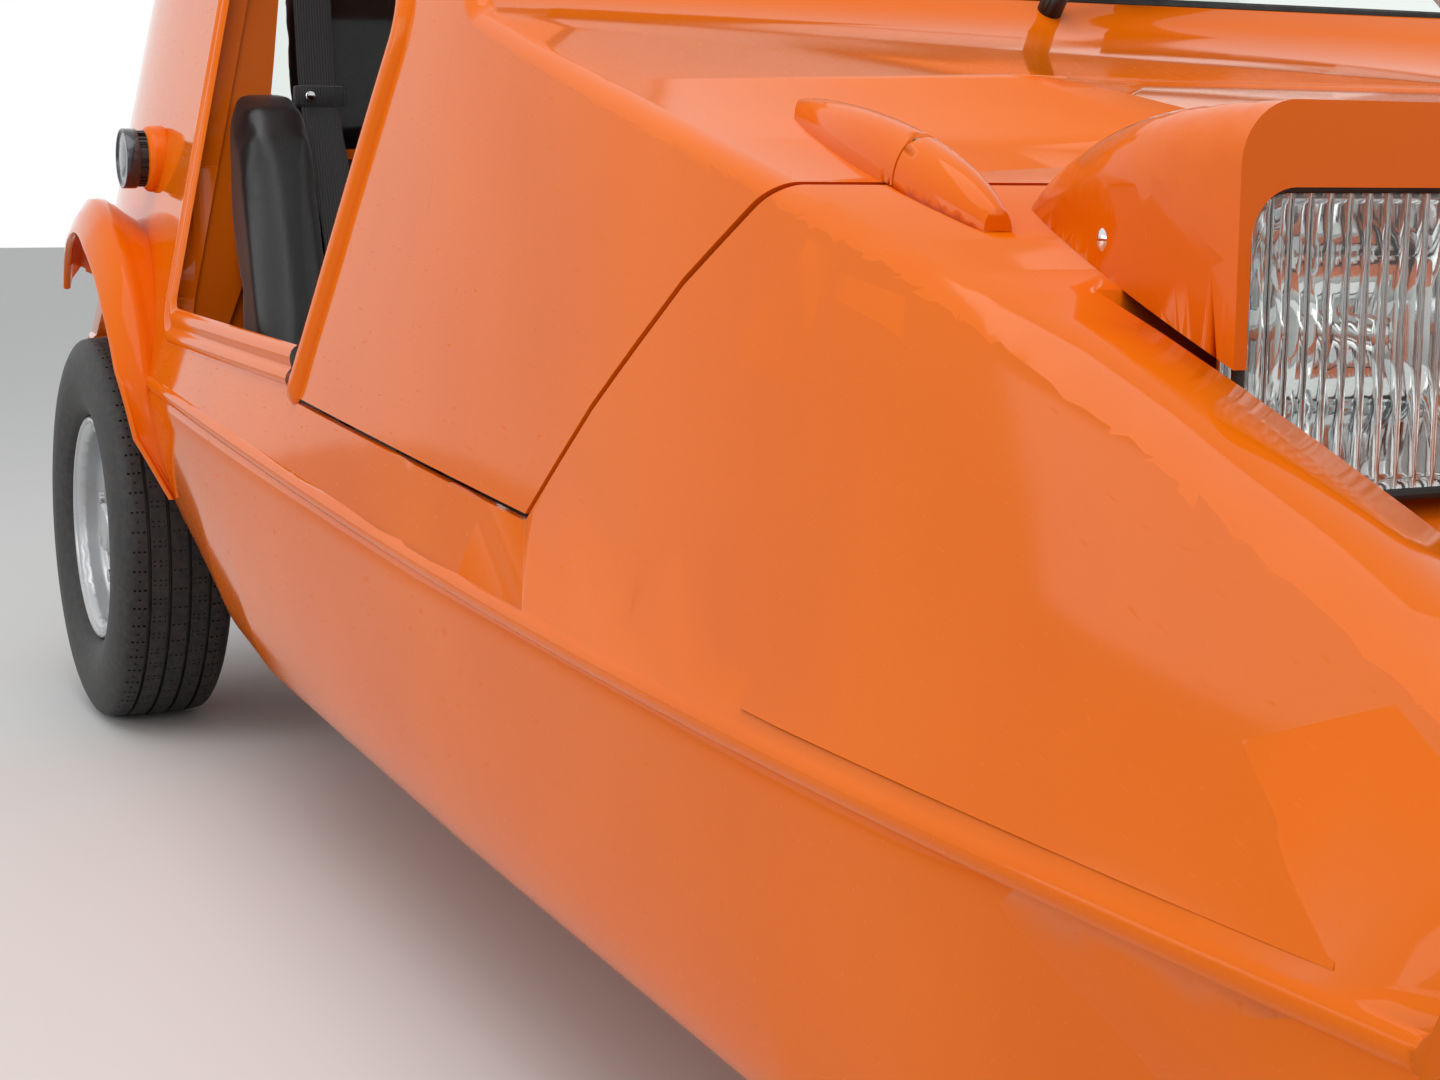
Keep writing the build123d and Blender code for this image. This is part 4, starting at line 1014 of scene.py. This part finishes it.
class MICROCAR_OT_wheels(bpy.types.Operator):
    """Smooth silver wheels with a rolled flange, four nuts and a tyre valve"""
    bl_idname = "microcar.wheels"
    bl_label = "Wheels"

    def execute(self, context):
        for node, side in (("front_rim", -1), ("rear_rim_left", 1), ("rear_rim_right", -1)):
            body = BODY_OF[node]
            rim = node_copy(node, node + "_enamel")
            finish_mesh(rim, rim.name, wheel_enamel(), body, angle=40)
            use_modifier(rim, "WEIGHTED_NORMAL", keep_sharp=True)
            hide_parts(node)
            low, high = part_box(node)
            centre = middle(node)
            face_y = high.y if side > 0 else low.y

            def spot(radius, turn, deep):
                """A place by its distance and angle round the axle, and its depth behind the wheel's outer face."""
                return (centre.x + radius * math.cos(turn), face_y - side * deep, centre.z + radius * math.sin(turn))
            # The flange's rolled edge lies just inside the outer edge of the rim
            edge = (high.x - low.x) / 2 - 0.0025
            ring = [spot(edge, turn, 0.0035) for turn in np.linspace(0, math.tau, 97)]
            flange = swept_tube(node + "_flange", ring, 0.0042)
            finish_mesh(flange, node + "_flange", wheel_enamel(), body)
            nuts = []
            for number in range(4):
                nut = disc_piece("nut", spot(0.047, math.radians(45 + 90 * number), 0.029), 0.0095, 0.014, sides=6)
                bevel_all(nut, 0.0012, 1)
                nuts.append(nut)
            finish_mesh(join(nuts), node + "_nuts", zinc(), body)
            stem = [(centre.x + x, face_y - side * deep, centre.z + z) for x, deep, z in VALVE]
            valve = swept_tube(node + "_valve", stem, 0.0035)
            finish_mesh(valve, node + "_valve", seal_rubber(), body)
        return {"FINISHED"}


def lamp_glass():
    # Pressed headlamp glass: clear, bright, slightly wavy; its upright flutes are modelled.
    name = "Pressed lamp glass"
    if name in bpy.data.materials:
        return bpy.data.materials[name]
    material, tree, shader = new_material(name)
    place = add_node(tree, "ShaderNodeTexCoord", {}, out="Object")
    wave = add_node(tree, "ShaderNodeTexNoise", {"Vector": place, "Scale": 1 / (14 * MM), "Detail": 1.0})
    wave = add_node(tree, "ShaderNodeBump", {"Height": wave, "Distance": 0.25 * MM})
    fill(tree, shader, {"Base Color": linear("F6F8F6"), "Roughness": 0.015, "IOR": 1.5,
                        "Transmission Weight": 1.0, "Normal": wave})
    return material


# Headlamp glass: width, corner radius and thickness; and the screw at each cowl's side: x, distance out, z
LAMP_WIDTH, LAMP_CORNER, LAMP_THICK = 0.2294, 0.026, 0.0115
COWL_SCREW = (0.961, 0.4885, 0.660)


class MICROCAR_OT_headlamps(bpy.types.Operator):
    """Fluted headlamp glasses, bright reflectors, rubber gaskets and cowl screws"""
    bl_idname = "microcar.headlamps"
    bl_label = "Headlamps"

    def execute(self, context):
        low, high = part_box("headlamp_lenses")
        height, mid_z, front = high.z - low.z, (low.z + high.z) / 2, high.x
        reflectors = node_copy("headlamp_bowls", "headlamp_reflectors")
        finish_mesh(reflectors, "headlamp_reflectors", chrome(), "body", angle=40)
        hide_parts("headlamp_bowls")
        sides = [(-1, low.y + LAMP_WIDTH / 2), (1, high.y - LAMP_WIDTH / 2)]
        glass_pair = join([self.glass(front, y, mid_z, height) for side, y in sides])
        finish_mesh(glass_pair, "headlamp_glasses", lamp_glass(), "body", angle=30)
        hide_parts("headlamp_lenses")
        gaskets, screws = [], []
        for side, centre_y in sides:
            loop = [(front + 0.0005, centre_y + y, mid_z + z)
                    for y, z in rounded_loop(LAMP_WIDTH + 0.001, height + 0.001, LAMP_CORNER)]
            gaskets.append(swept_tube("gasket", loop + loop[:1], 0.0032))
            screws.append(self.screw((COWL_SCREW[0], side * COWL_SCREW[1], COWL_SCREW[2]), side))
        finish_mesh(join(gaskets), "headlamp_gaskets", seal_rubber(), "body")
        finish_mesh(join(screws), "cowl_screws", chrome(), "body")
        return {"FINISHED"}

    def glass(self, front, y, z, height):
        """A rounded slab whose back is cut into upright flutes."""
        slab = box_piece("glass", (front - LAMP_THICK, y - LAMP_WIDTH / 2, z - height / 2),
                         (front, y + LAMP_WIDTH / 2, z + height / 2))
        start_edit(slab, "EDGE")
        bpy.ops.mesh.select_all(action="DESELECT")
        mesh = bmesh.from_edit_mesh(slab.data)
        for edge in mesh.edges:
            a, b = edge.verts
            if abs(a.co.x - b.co.x) > LAMP_THICK / 2:
                edge.select_set(True)
        bmesh.update_edit_mesh(slab.data)
        bpy.ops.mesh.bevel(offset=LAMP_CORNER, segments=10, affect="EDGES")
        select_faces(slab, lambda centre, normal: normal.x > 0.9)
        bpy.ops.mesh.bevel(offset=0.004, segments=3, affect="EDGES")
        end_edit()
        count = settings().lamp.flutes
        depth = settings().lamp.flute_depth
        steps = 8
        points = []
        for number in range(count * steps + 1):
            across = -0.5 + number / (count * steps)
            wave = abs(math.sin(math.pi * number / steps))
            points.append((front - LAMP_THICK * 0.55 + depth * (wave - 1), y + across * (LAMP_WIDTH + 0.004),
                           z - height))
        cutter = draw_line("flute cutter", points)
        bpy.ops.mesh.extrude_region_move(TRANSFORM_OT_translate={"value": (0, 0, 2 * height)})
        bpy.ops.mesh.select_all(action="SELECT")
        bpy.ops.mesh.extrude_region_move(TRANSFORM_OT_translate={"value": (-0.03, 0, 0)})
        bpy.ops.mesh.select_all(action="SELECT")
        bpy.ops.mesh.normals_make_consistent(inside=False)
        end_edit()
        use_modifier(slab, "BOOLEAN", object=cutter, operation="DIFFERENCE", solver="EXACT")
        bpy.data.objects.remove(cutter)
        return slab

    def screw(self, place, side):
        """Slotted dome-head screw facing outwards."""
        head = disc_piece("screw", place, 0.0062, 0.005, sides=24)
        start_edit(head)
        select_faces(head, lambda centre, normal: normal.y * side > 0.9)
        bpy.ops.mesh.inset(thickness=0.0018, depth=0.0012)
        bpy.ops.mesh.inset(thickness=0.0018, depth=0.0006)
        end_edit()
        slot = box_piece("slot", (place[0] - 0.008, place[1] - 0.0045 + side * 0.005, place[2] - 0.0006),
                         (place[0] + 0.008, place[1] + 0.0045 + side * 0.005, place[2] + 0.0006))
        use_modifier(head, "BOOLEAN", object=slot, operation="DIFFERENCE", solver="EXACT")
        bpy.data.objects.remove(slot)
        return head


def seat_vinyl():
    # PVC-coated upholstery cloth: black leather grain with a grey sheen where the light grazes it.
    name = "Grained seat vinyl"
    if name in bpy.data.materials:
        return bpy.data.materials[name]
    material, tree, shader = new_material(name)
    place = add_node(tree, "ShaderNodeTexCoord", {}, out="Object")
    wear = add_node(tree, "ShaderNodeTexNoise", {"Vector": place, "Scale": 1 / (70 * MM), "Detail": 5.0})
    wear = add_node(tree, "ShaderNodeMapRange", {"Value": wear, "From Min": 0.4, "From Max": 0.75, "To Max": 0.5})
    body = add_node(tree, "ShaderNodeMix", {0: wear, 6: colour(settings().seat.vinyl), 7: linear("2C2C2F")},
                    out=2, data_type="RGBA")
    grain = add_node(tree, "ShaderNodeTexVoronoi", {"Vector": place, "Scale": 1 / (1.8 * MM)})
    grain = add_node(tree, "ShaderNodeBump", {"Height": grain, "Distance": 0.22 * MM, "Strength": 0.7})
    fill(tree, shader, {"Base Color": body, "Roughness": 0.36, "Sheen Weight": 0.25, "Sheen Roughness": 0.4,
                        "Normal": grain})
    return material


def basket_vinyl():
    # Embossed basket-weave vinyl: 9 mm checks, each of three cords, turned a quarter from its neighbours.
    name = "Basket-weave vinyl"
    if name in bpy.data.materials:
        return bpy.data.materials[name]
    material, tree, shader = new_material(name)
    place = add_node(tree, "ShaderNodeTexCoord", {}, out="Object")
    x, y, z = add_node(tree, "ShaderNodeSeparateXYZ", {0: place}).node.outputs
    up = add_node(tree, "ShaderNodeMath", {0: z, 1: x}, operation="SUBTRACT")
    flat = add_node(tree, "ShaderNodeCombineXYZ", {"X": y, "Y": up})
    checks = add_node(tree, "ShaderNodeTexChecker", {"Vector": flat, "Scale": 1 / (9 * MM)}, out="Fac")
    across, along = (add_node(tree, "ShaderNodeTexWave", {"Vector": flat, "Scale": WAVE / (3 * MM)}, out=1,
                              bands_direction=way) for way in "XY")
    weave = add_node(tree, "ShaderNodeMix", {0: checks, 2: across, 3: along}, data_type="FLOAT")
    relief = add_node(tree, "ShaderNodeBump", {"Height": weave, "Distance": 0.9 * MM})
    fill(tree, shader, {"Base Color": colour(settings().seat.vinyl), "Roughness": 0.38, "Normal": relief})
    return material


def webbing():
    # Woven polyester seat-belt webbing: black, soft sheen, ribs 1.6 mm apart along the strap.
    name = "Woven polyester webbing"
    if name in bpy.data.materials:
        return bpy.data.materials[name]
    material, tree, shader = new_material(name)
    place = add_node(tree, "ShaderNodeTexCoord", {}, out="Object")
    ribs = add_node(tree, "ShaderNodeTexWave", {"Vector": place, "Scale": WAVE / (3.2 * MM), "Distortion": 0.2},
                    out=1, bands_direction="Y")
    cross = add_node(tree, "ShaderNodeTexWave", {"Vector": place, "Scale": WAVE / (1.6 * MM)}, out=1,
                     bands_direction="Z")
    cross = add_node(tree, "ShaderNodeMath", {0: cross, 1: 0.4}, operation="MULTIPLY")
    relief = add_node(tree, "ShaderNodeMath", {0: ribs, 1: cross}, operation="ADD")
    relief = add_node(tree, "ShaderNodeBump", {"Height": relief, "Distance": 0.35 * MM})
    fill(tree, shader, {"Base Color": linear("17171A"), "Roughness": 0.5, "Sheen Weight": 0.4, "Normal": relief})
    return material


# Side outlines of the seat's pads, x and z in mm, half their width, and how far a pair of them stands either side of
# the seat's middle, in mm
SEAT_PADS = {
    "cushion": (((-156, 268), (-152, 326), (-232, 343), (-556, 318), (-566, 268)), 140, 0),
    "squab": (((-560, 322), (-684, 702), (-762, 715), (-662, 330)), 140, 0),
    "bolster": (((-194, 268), (-174, 350), (-300, 366), (-420, 383), (-490, 405), (-532, 434), (-582, 585),
                 (-630, 735), (-655, 768), (-700, 787), (-755, 778), (-794, 760), (-690, 560), (-657, 268)), 36, 181),
    "headrest": (((-722, 715), (-746, 896), (-764, 911), (-790, 915), (-816, 903), (-776, 715)), 127, 0),
}
# The piping along the seat's inner seams, x and z
PIPING = ((-0.196, 0.350), (-0.30, 0.350), (-0.42, 0.343), (-0.54, 0.340), (-0.572, 0.40), (-0.628, 0.56),
          (-0.682, 0.716))
# How far out the middles of the seats and belts are, and the seams from the middle of their seat
SEAT_Y, BELT_Y, SEAM_Y = 0.330, 0.449, 0.1435
# Cloth: frames it settles for, and how far it may move
SETTLING, SWELL = 16, 0.007


class MICROCAR_OT_seats(bpy.types.Operator):
    """Padded bucket seats: basket-weave centres, smooth bolsters and headrests, settled as cloth"""
    bl_idname = "microcar.seats"
    bl_label = "Seats"

    def execute(self, context):
        pads = []
        for name, (outline, half, offset) in SEAT_PADS.items():
            for sign in ((-1, 1) if offset else (1,)):
                pads.append((name, self.pad(name, outline, half, offset * sign)))
        for side, label in SIDES:
            for number, (name, pad) in enumerate(pads):
                piece = copy_mesh(pad, "seat_%s_%s_%d" % (label, name, number))
                piece.location = (0, side * SEAT_Y, 0)
                vinyl = basket_vinyl() if name in ("cushion", "squab") else seat_vinyl()
                finish_mesh(piece, piece.name, vinyl, "body", angle=60)
                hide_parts("seat_" + label)
        for name, pad in pads:
            bpy.data.objects.remove(pad)
        self.seams()
        return {"FINISHED"}

    def pad(self, name, outline, half, offset):
        """A stuffed pad: its outline carried across, rounded, then blown out as cloth."""
        points = [(x * MM, (offset - half) * MM, z * MM) for x, z in outline]
        pad = draw_line("pad " + name, points)
        bpy.ops.mesh.edge_face_add()
        bpy.ops.mesh.select_all(action="SELECT")
        bpy.ops.mesh.extrude_region_move(TRANSFORM_OT_translate={"value": (0, 2 * half * MM, 0)})
        bpy.ops.mesh.select_all(action="SELECT")
        bpy.ops.mesh.normals_make_consistent(inside=False)
        end_edit()
        bevel_all(pad, 0.016, 3)
        use_modifier(pad, "REMESH", mode="VOXEL", voxel_size=0.0055)
        rest = [vertex.co.copy() for vertex in pad.data.vertices]
        scene = bpy.context.scene
        cloth = add_modifier(pad, "CLOTH")
        cloth.settings.use_pressure = True
        cloth.settings.uniform_pressure_force = settings().seat.crown
        cloth.settings.effector_weights.gravity = 0
        cloth.settings.quality = 4
        cloth.point_cache.frame_end = SETTLING
        for frame_number in range(1, SETTLING + 1):
            scene.frame_set(frame_number)
        activate(pad)
        bpy.ops.object.modifier_apply(modifier=cloth.name)
        scene.frame_set(1)
        for vertex, start in zip(pad.data.vertices, rest):
            move = vertex.co - start
            if move.length > SWELL:
                vertex.co = start + move.normalized() * SWELL
        use_modifier(pad, "SMOOTH", factor=0.5, iterations=3)
        return pad

    def seams(self):
        """Piped seams between the bolsters and the centres."""
        for side, label in SIDES:
            beads = [swept_tube("piping", [(x, side * SEAT_Y + sign * SEAM_Y, z) for x, z in PIPING], 0.0035, 8)
                     for sign in (-1, 1)]
            finish_mesh(join(beads), "seat_%s_piping" % label, seat_vinyl(), "body")


# Panels behind the seats: how far out their inner edge is, and x, z and distance out of points on the outer edge
BULKHEAD_INNER = 0.30
BULKHEAD_EDGE = ((-0.697, 0.27, 0.575), (-0.699, 0.45, 0.575), (-0.702, 0.60, 0.57), (-0.706, 0.72, 0.55))


class MICROCAR_OT_bulkhead(bpy.types.Operator):
    """Painted panels behind the seats, between the wheel housings and the hoop"""
    bl_idname = "microcar.bulkhead"
    bl_label = "Rear bulkhead"

    def execute(self, context):
        for side, label in SIDES:
            rows = [[(x, side * (BULKHEAD_INNER + (outer - BULKHEAD_INNER) * share), z)
                     for share in (1, 0.95, 0.7, 0.3, 0)] for x, z, outer in BULKHEAD_EDGE]
            painted_sheet("bulkhead_" + label, rows, (1, 0, 0), angle=35, thick=PANEL)
        return {"FINISHED"}


# Middle of the belt's front face, from the hoop down to the buckle: x, z and shift outwards
BELT = ((-0.724, 1.0, 0.0), (-0.708, 0.90, 0.002), (-0.694, 0.80, 0.002), (-0.684, 0.755, 0), (-0.664, 0.70, -0.004),
        (-0.636, 0.62, -0.008), (-0.602, 0.52, -0.012), (-0.572, 0.43, -0.016), (-0.545, 0.368, -0.020),
        (-0.470, 0.360, -0.024))


class MICROCAR_OT_belts(bpy.types.Operator):
    """Seat-belt webbing with its slide and snap"""
    bl_idname = "microcar.belts"
    bl_label = "Seat belts"

    def execute(self, context):
        straps, snaps = [], []
        half = settings().seat.belt_width / 2
        for side in (-1, 1):
            y = side * BELT_Y
            strap = draw_line("strap", [(x + 0.004, y + side * shift - half, z) for x, z, shift in BELT])
            bpy.ops.mesh.extrude_region_move(TRANSFORM_OT_translate={"value": (0, 2 * half, 0)})
            bpy.ops.mesh.select_all(action="SELECT")
            bpy.ops.mesh.subdivide(number_cuts=2)
            bpy.ops.mesh.normals_make_consistent(inside=False)
            end_edit()
            use_modifier(strap, "SOLIDIFY", thickness=0.0014, offset=0)
            use_modifier(strap, "SUBSURF", levels=2, render_levels=2)
            slide = box_piece("slide", (-0.696, y - half - 0.006, 0.768), (-0.680, y + half + 0.006, 0.792))
            bevel_all(slide, 0.003, 2)
            straps += [strap, slide]
            snaps.append(disc_piece("snap", (-0.676, y + side * 0.014, 0.780), 0.006, 0.006, axis="X", sides=20))
            bevel_all(snaps[-1], 0.0015, 2)
        belts = finish_mesh(join(straps), "belt_webbing", webbing(), "body", angle=40)
        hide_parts("seat_belts")
        finish_mesh(join(snaps), "belt_snaps", chrome(), "body")
        return {"FINISHED"}


def cap_metal_with_painted_sky():
    # Painted zinc filler cap, worn glossy on its face: near-black, with a blue tint that is a painted reflection of the
    # sky.
    return finish("Painted zinc cap", "2A2F38", 0.22, metal=0.3, coat=0.6)


class MICROCAR_OT_filler(bpy.types.Operator):
    """Fuel filler cap with a dished face and a ribbed skirt, on its round boss"""
    bl_idname = "microcar.filler"
    bl_label = "Filler cap"

    def execute(self, context):
        low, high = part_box("filler_cap")
        x, z = (low.x + high.x) / 2, (low.z + high.z) / 2
        radius = (high.x - low.x) / 2
        deep = high.y - low.y
        cap = disc_piece("filler_cap_face", (x, low.y + deep * 0.32, z), radius, deep * 0.64, sides=64)
        start_edit(cap)
        select_faces(cap, lambda centre, normal: normal.y < -0.9)
        for thickness, depth in ((0.003, 0.0), (0.0015, -0.0025), (0.012, 0.0015), (0.008, 0.001)):
            bpy.ops.mesh.inset(thickness=thickness, depth=depth)
        end_edit()
        bevel_all(cap, 0.0012, 2)
        ribs = 72
        skirt = disc_piece("skirt", (x, high.y - deep * 0.2, z), radius * 0.94, deep * 0.4, sides=ribs)
        start_edit(skirt)

        def rib(centre, normal):
            number = round((math.atan2(centre.x - x, centre.z - z) % math.tau) / (math.tau / ribs))
            return abs(normal.y) < 0.3 and number % 2 == 0
        select_faces(skirt, rib)
        bpy.ops.mesh.inset(thickness=0.0004, depth=-0.0016, use_individual=True)
        end_edit()
        low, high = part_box("filler_boss")
        boss = disc_piece("filler_boss_moulding", middle("filler_boss"), (high.x - low.x) / 2, high.y - low.y, sides=96)
        bevel_all(boss, 0.008, 5)
        finish_mesh(boss, "filler_boss_moulding", gelcoat(), "body")
        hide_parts("filler_boss")
        # The face's colour carries a painted blue reflection of the sky
        finish_mesh(cap, "filler_cap_face", cap_metal_with_painted_sky(), "body")
        finish_mesh(skirt, "filler_cap_skirt", moulded_black(), "body")
        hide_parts("filler_cap")
        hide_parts("filler_cap")
        return {"FINISHED"}


# Nodes remade as black mouldings, and those of them whose edges are rounded
BLACK_TRIM = ("wiper", "nose_strip", "rear_bumper", "tail_lamp_panel", "dashboard", "steering_wheel", "engine_cover",
              "tunnel_cover", "levers", "pedals")
ROUNDED_TRIM = ("nose_strip", "rear_bumper", "tail_lamp_panel")
# Half the windscreen's width at its top
SCREEN_TOP = 0.428


class MICROCAR_OT_trim(bpy.types.Operator):
    """The windscreen's rubber seal, and black mouldings from wiper to pedals"""
    bl_idname = "microcar.trim"
    bl_label = "Trim"

    def execute(self, context):
        self.screen_seal()
        for node in BLACK_TRIM:
            copy = node_copy(node, node + "_moulding")
            if node in ROUNDED_TRIM:
                bevel_all(copy, 0.002, 2)
            finish_mesh(copy, copy.name, moulded_black(), BODY_OF[node], angle=30)
            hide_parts(node)
        return {"FINISHED"}

    def screen_seal(self):
        """Rubber round the windscreen, laid on the glass's outline."""
        low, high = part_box("windscreen")
        points = []
        # Corners by share of the way up the glass and side
        for start, end in (((0, -1), (0, 1)), ((0, 1), (1, 1)), ((1, 1), (1, -1)), ((1, -1), (0, -1))):
            for step in range(6):
                up, side = (a + (b - a) * step / 6 for a, b in zip(start, end))
                half = high.y + (SCREEN_TOP - high.y) * up
                points.append((high.x + (low.x - high.x) * up, side * half, low.z + (high.z - low.z) * up))
        seal = swept_tube("screen_seal", points + points[:1], 0.006)
        finish_mesh(seal, "screen_seal", seal_rubber(), BODY_OF["windscreen"])


# Area lights: name, place, target, width, height, and share of the key light's power
LIGHTS = (("Overhead softbox", (0.6, -1.0, 3.6), (0.0, 0.2, 0.4), 3.6, 2.6, 1.0),
          ("Front softbox", (4.4, -2.6, 2.2), (0.6, -0.2, 0.5), 2.4, 2.0, 0.45),
          ("Side strip", (-0.6, -4.2, 1.5), (0.0, 0.0, 0.5), 4.0, 0.9, 0.35))
# The photograph's camera, solved from its view of the car: place, turn from the car's axis, fall and tilt in
# degrees, and lens in mm
CAMERA_PLACE, CAMERA_TURNS, CAMERA_LENS = (2.01, -1.217, 0.693), (25.52, 8.87, 0.37), 58.5


class MICROCAR_OT_stage(bpy.types.Operator):
    """Pale floor, soft studio lights and the camera at the photograph's angle"""
    bl_idname = "microcar.stage"
    bl_label = "Studio stage"

    def execute(self, context):
        scene = context.scene
        deselect()
        bpy.ops.mesh.primitive_plane_add(size=40, location=(0, 0, 0))
        floor = context.object
        floor.name = "Studio floor"
        material, tree, shader = new_material("Matt studio paper")
        fill(tree, shader, {"Base Color": colour(settings().stage.floor), "Roughness": 0.9})
        floor.data.materials.append(material)
        for light in LIGHTS:
            self.light(*light)
        self.world(scene)
        self.camera(scene)
        scene.view_settings.view_transform = "Standard"
        return {"FINISHED"}

    def light(self, name, place, target, width, height, share):
        bpy.ops.object.light_add(type="AREA", location=place)
        lamp = bpy.context.object
        lamp.name = name
        lamp.data.shape = "RECTANGLE"
        lamp.data.size, lamp.data.size_y = width, height
        lamp.data.energy = settings().stage.key * share
        aim = Vector(target) - Vector(place)
        lamp.rotation_euler = aim.to_track_quat("-Z", "Y").to_euler()

    def world(self, scene):
        """Soft grey-white surround for light, plain white where the camera or a mirror sees it."""
        world = bpy.data.worlds.new("Soft surround")
        world.use_nodes = True
        tree = world.node_tree
        back = tree.nodes["Background"]
        fill(tree, back, {"Color": linear("F4F6F8"), "Strength": 0.55})
        white = add_node(tree, "ShaderNodeBackground", {"Color": (1, 1, 1, 1), "Strength": 1.0})
        rays = add_node(tree, "ShaderNodeLightPath", {}).node.outputs
        seen = rays["Is Camera Ray"]
        for ray in ("Is Glossy Ray", "Is Transmission Ray"):
            seen = add_node(tree, "ShaderNodeMath", {0: seen, 1: rays[ray]}, operation="MAXIMUM")
        both = add_node(tree, "ShaderNodeMixShader", {0: seen, 1: back.outputs[0], 2: white})
        tree.links.new(both, tree.nodes["World Output"].inputs["Surface"])
        scene.world = world

    def camera(self, scene):
        """The photograph's viewpoint: low by the front right corner, looking back along the car."""
        bpy.ops.object.camera_add(location=CAMERA_PLACE)
        camera = bpy.context.object
        camera.name = "Photograph view"
        yaw, pitch, roll = (math.radians(turn) for turn in CAMERA_TURNS)
        ahead = Vector((-math.cos(pitch) * math.cos(yaw), math.cos(pitch) * math.sin(yaw), -math.sin(pitch)))
        right = ahead.cross(Vector((0, 0, 1))).normalized()
        up = right.cross(ahead)
        turned = math.cos(roll) * right + math.sin(roll) * up
        upward = math.cos(roll) * up - math.sin(roll) * right
        camera.rotation_euler = Matrix((turned, upward, -ahead)).transposed().to_euler()
        camera.data.sensor_width = 36
        camera.data.lens = CAMERA_LENS
        scene.camera = camera


# Panel and registration

STEPS = ("panels", "finishes", "tyres", "wheels", "headlamps", "seats", "bulkhead", "belts", "filler", "trim",
         "stage")


class MICROCAR_PT_sidebar(bpy.types.Panel):
    """Lists the steps and settings of the microcar"""
    bl_idname = "MICROCAR_PT_sidebar"
    bl_label = "Microcar"
    bl_space_type = "VIEW_3D"
    bl_region_type = "UI"
    bl_category = "Microcar"

    def draw(self, context):
        for step in STEPS:
            self.layout.operator("microcar." + step)
        for group in ("paint", "tyre", "seat", "lamp", "stage"):
            box = self.layout.box()
            values = getattr(context.scene.microcar, group)
            for key in values.__annotations__:
                box.prop(values, key)


CLASSES = (PaintSettings, TyreSettings, SeatSettings, LampSettings, StageSettings, MicrocarSettings,
           MICROCAR_OT_panels, MICROCAR_OT_finishes, MICROCAR_OT_tyres, MICROCAR_OT_wheels,
           MICROCAR_OT_headlamps, MICROCAR_OT_seats, MICROCAR_OT_bulkhead, MICROCAR_OT_belts, MICROCAR_OT_filler,
           MICROCAR_OT_trim, MICROCAR_OT_stage, MICROCAR_PT_sidebar)


def register():
    for item in CLASSES:
        bpy.utils.register_class(item)
    bpy.types.Scene.microcar = bpy.props.PointerProperty(type=MicrocarSettings)


def unregister():
    del bpy.types.Scene.microcar
    for item in reversed(CLASSES):
        bpy.utils.unregister_class(item)


def main():
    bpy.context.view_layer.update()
    register()
    for step in STEPS:
        getattr(bpy.ops.microcar, step)()


if __name__ == "__main__":
    main()
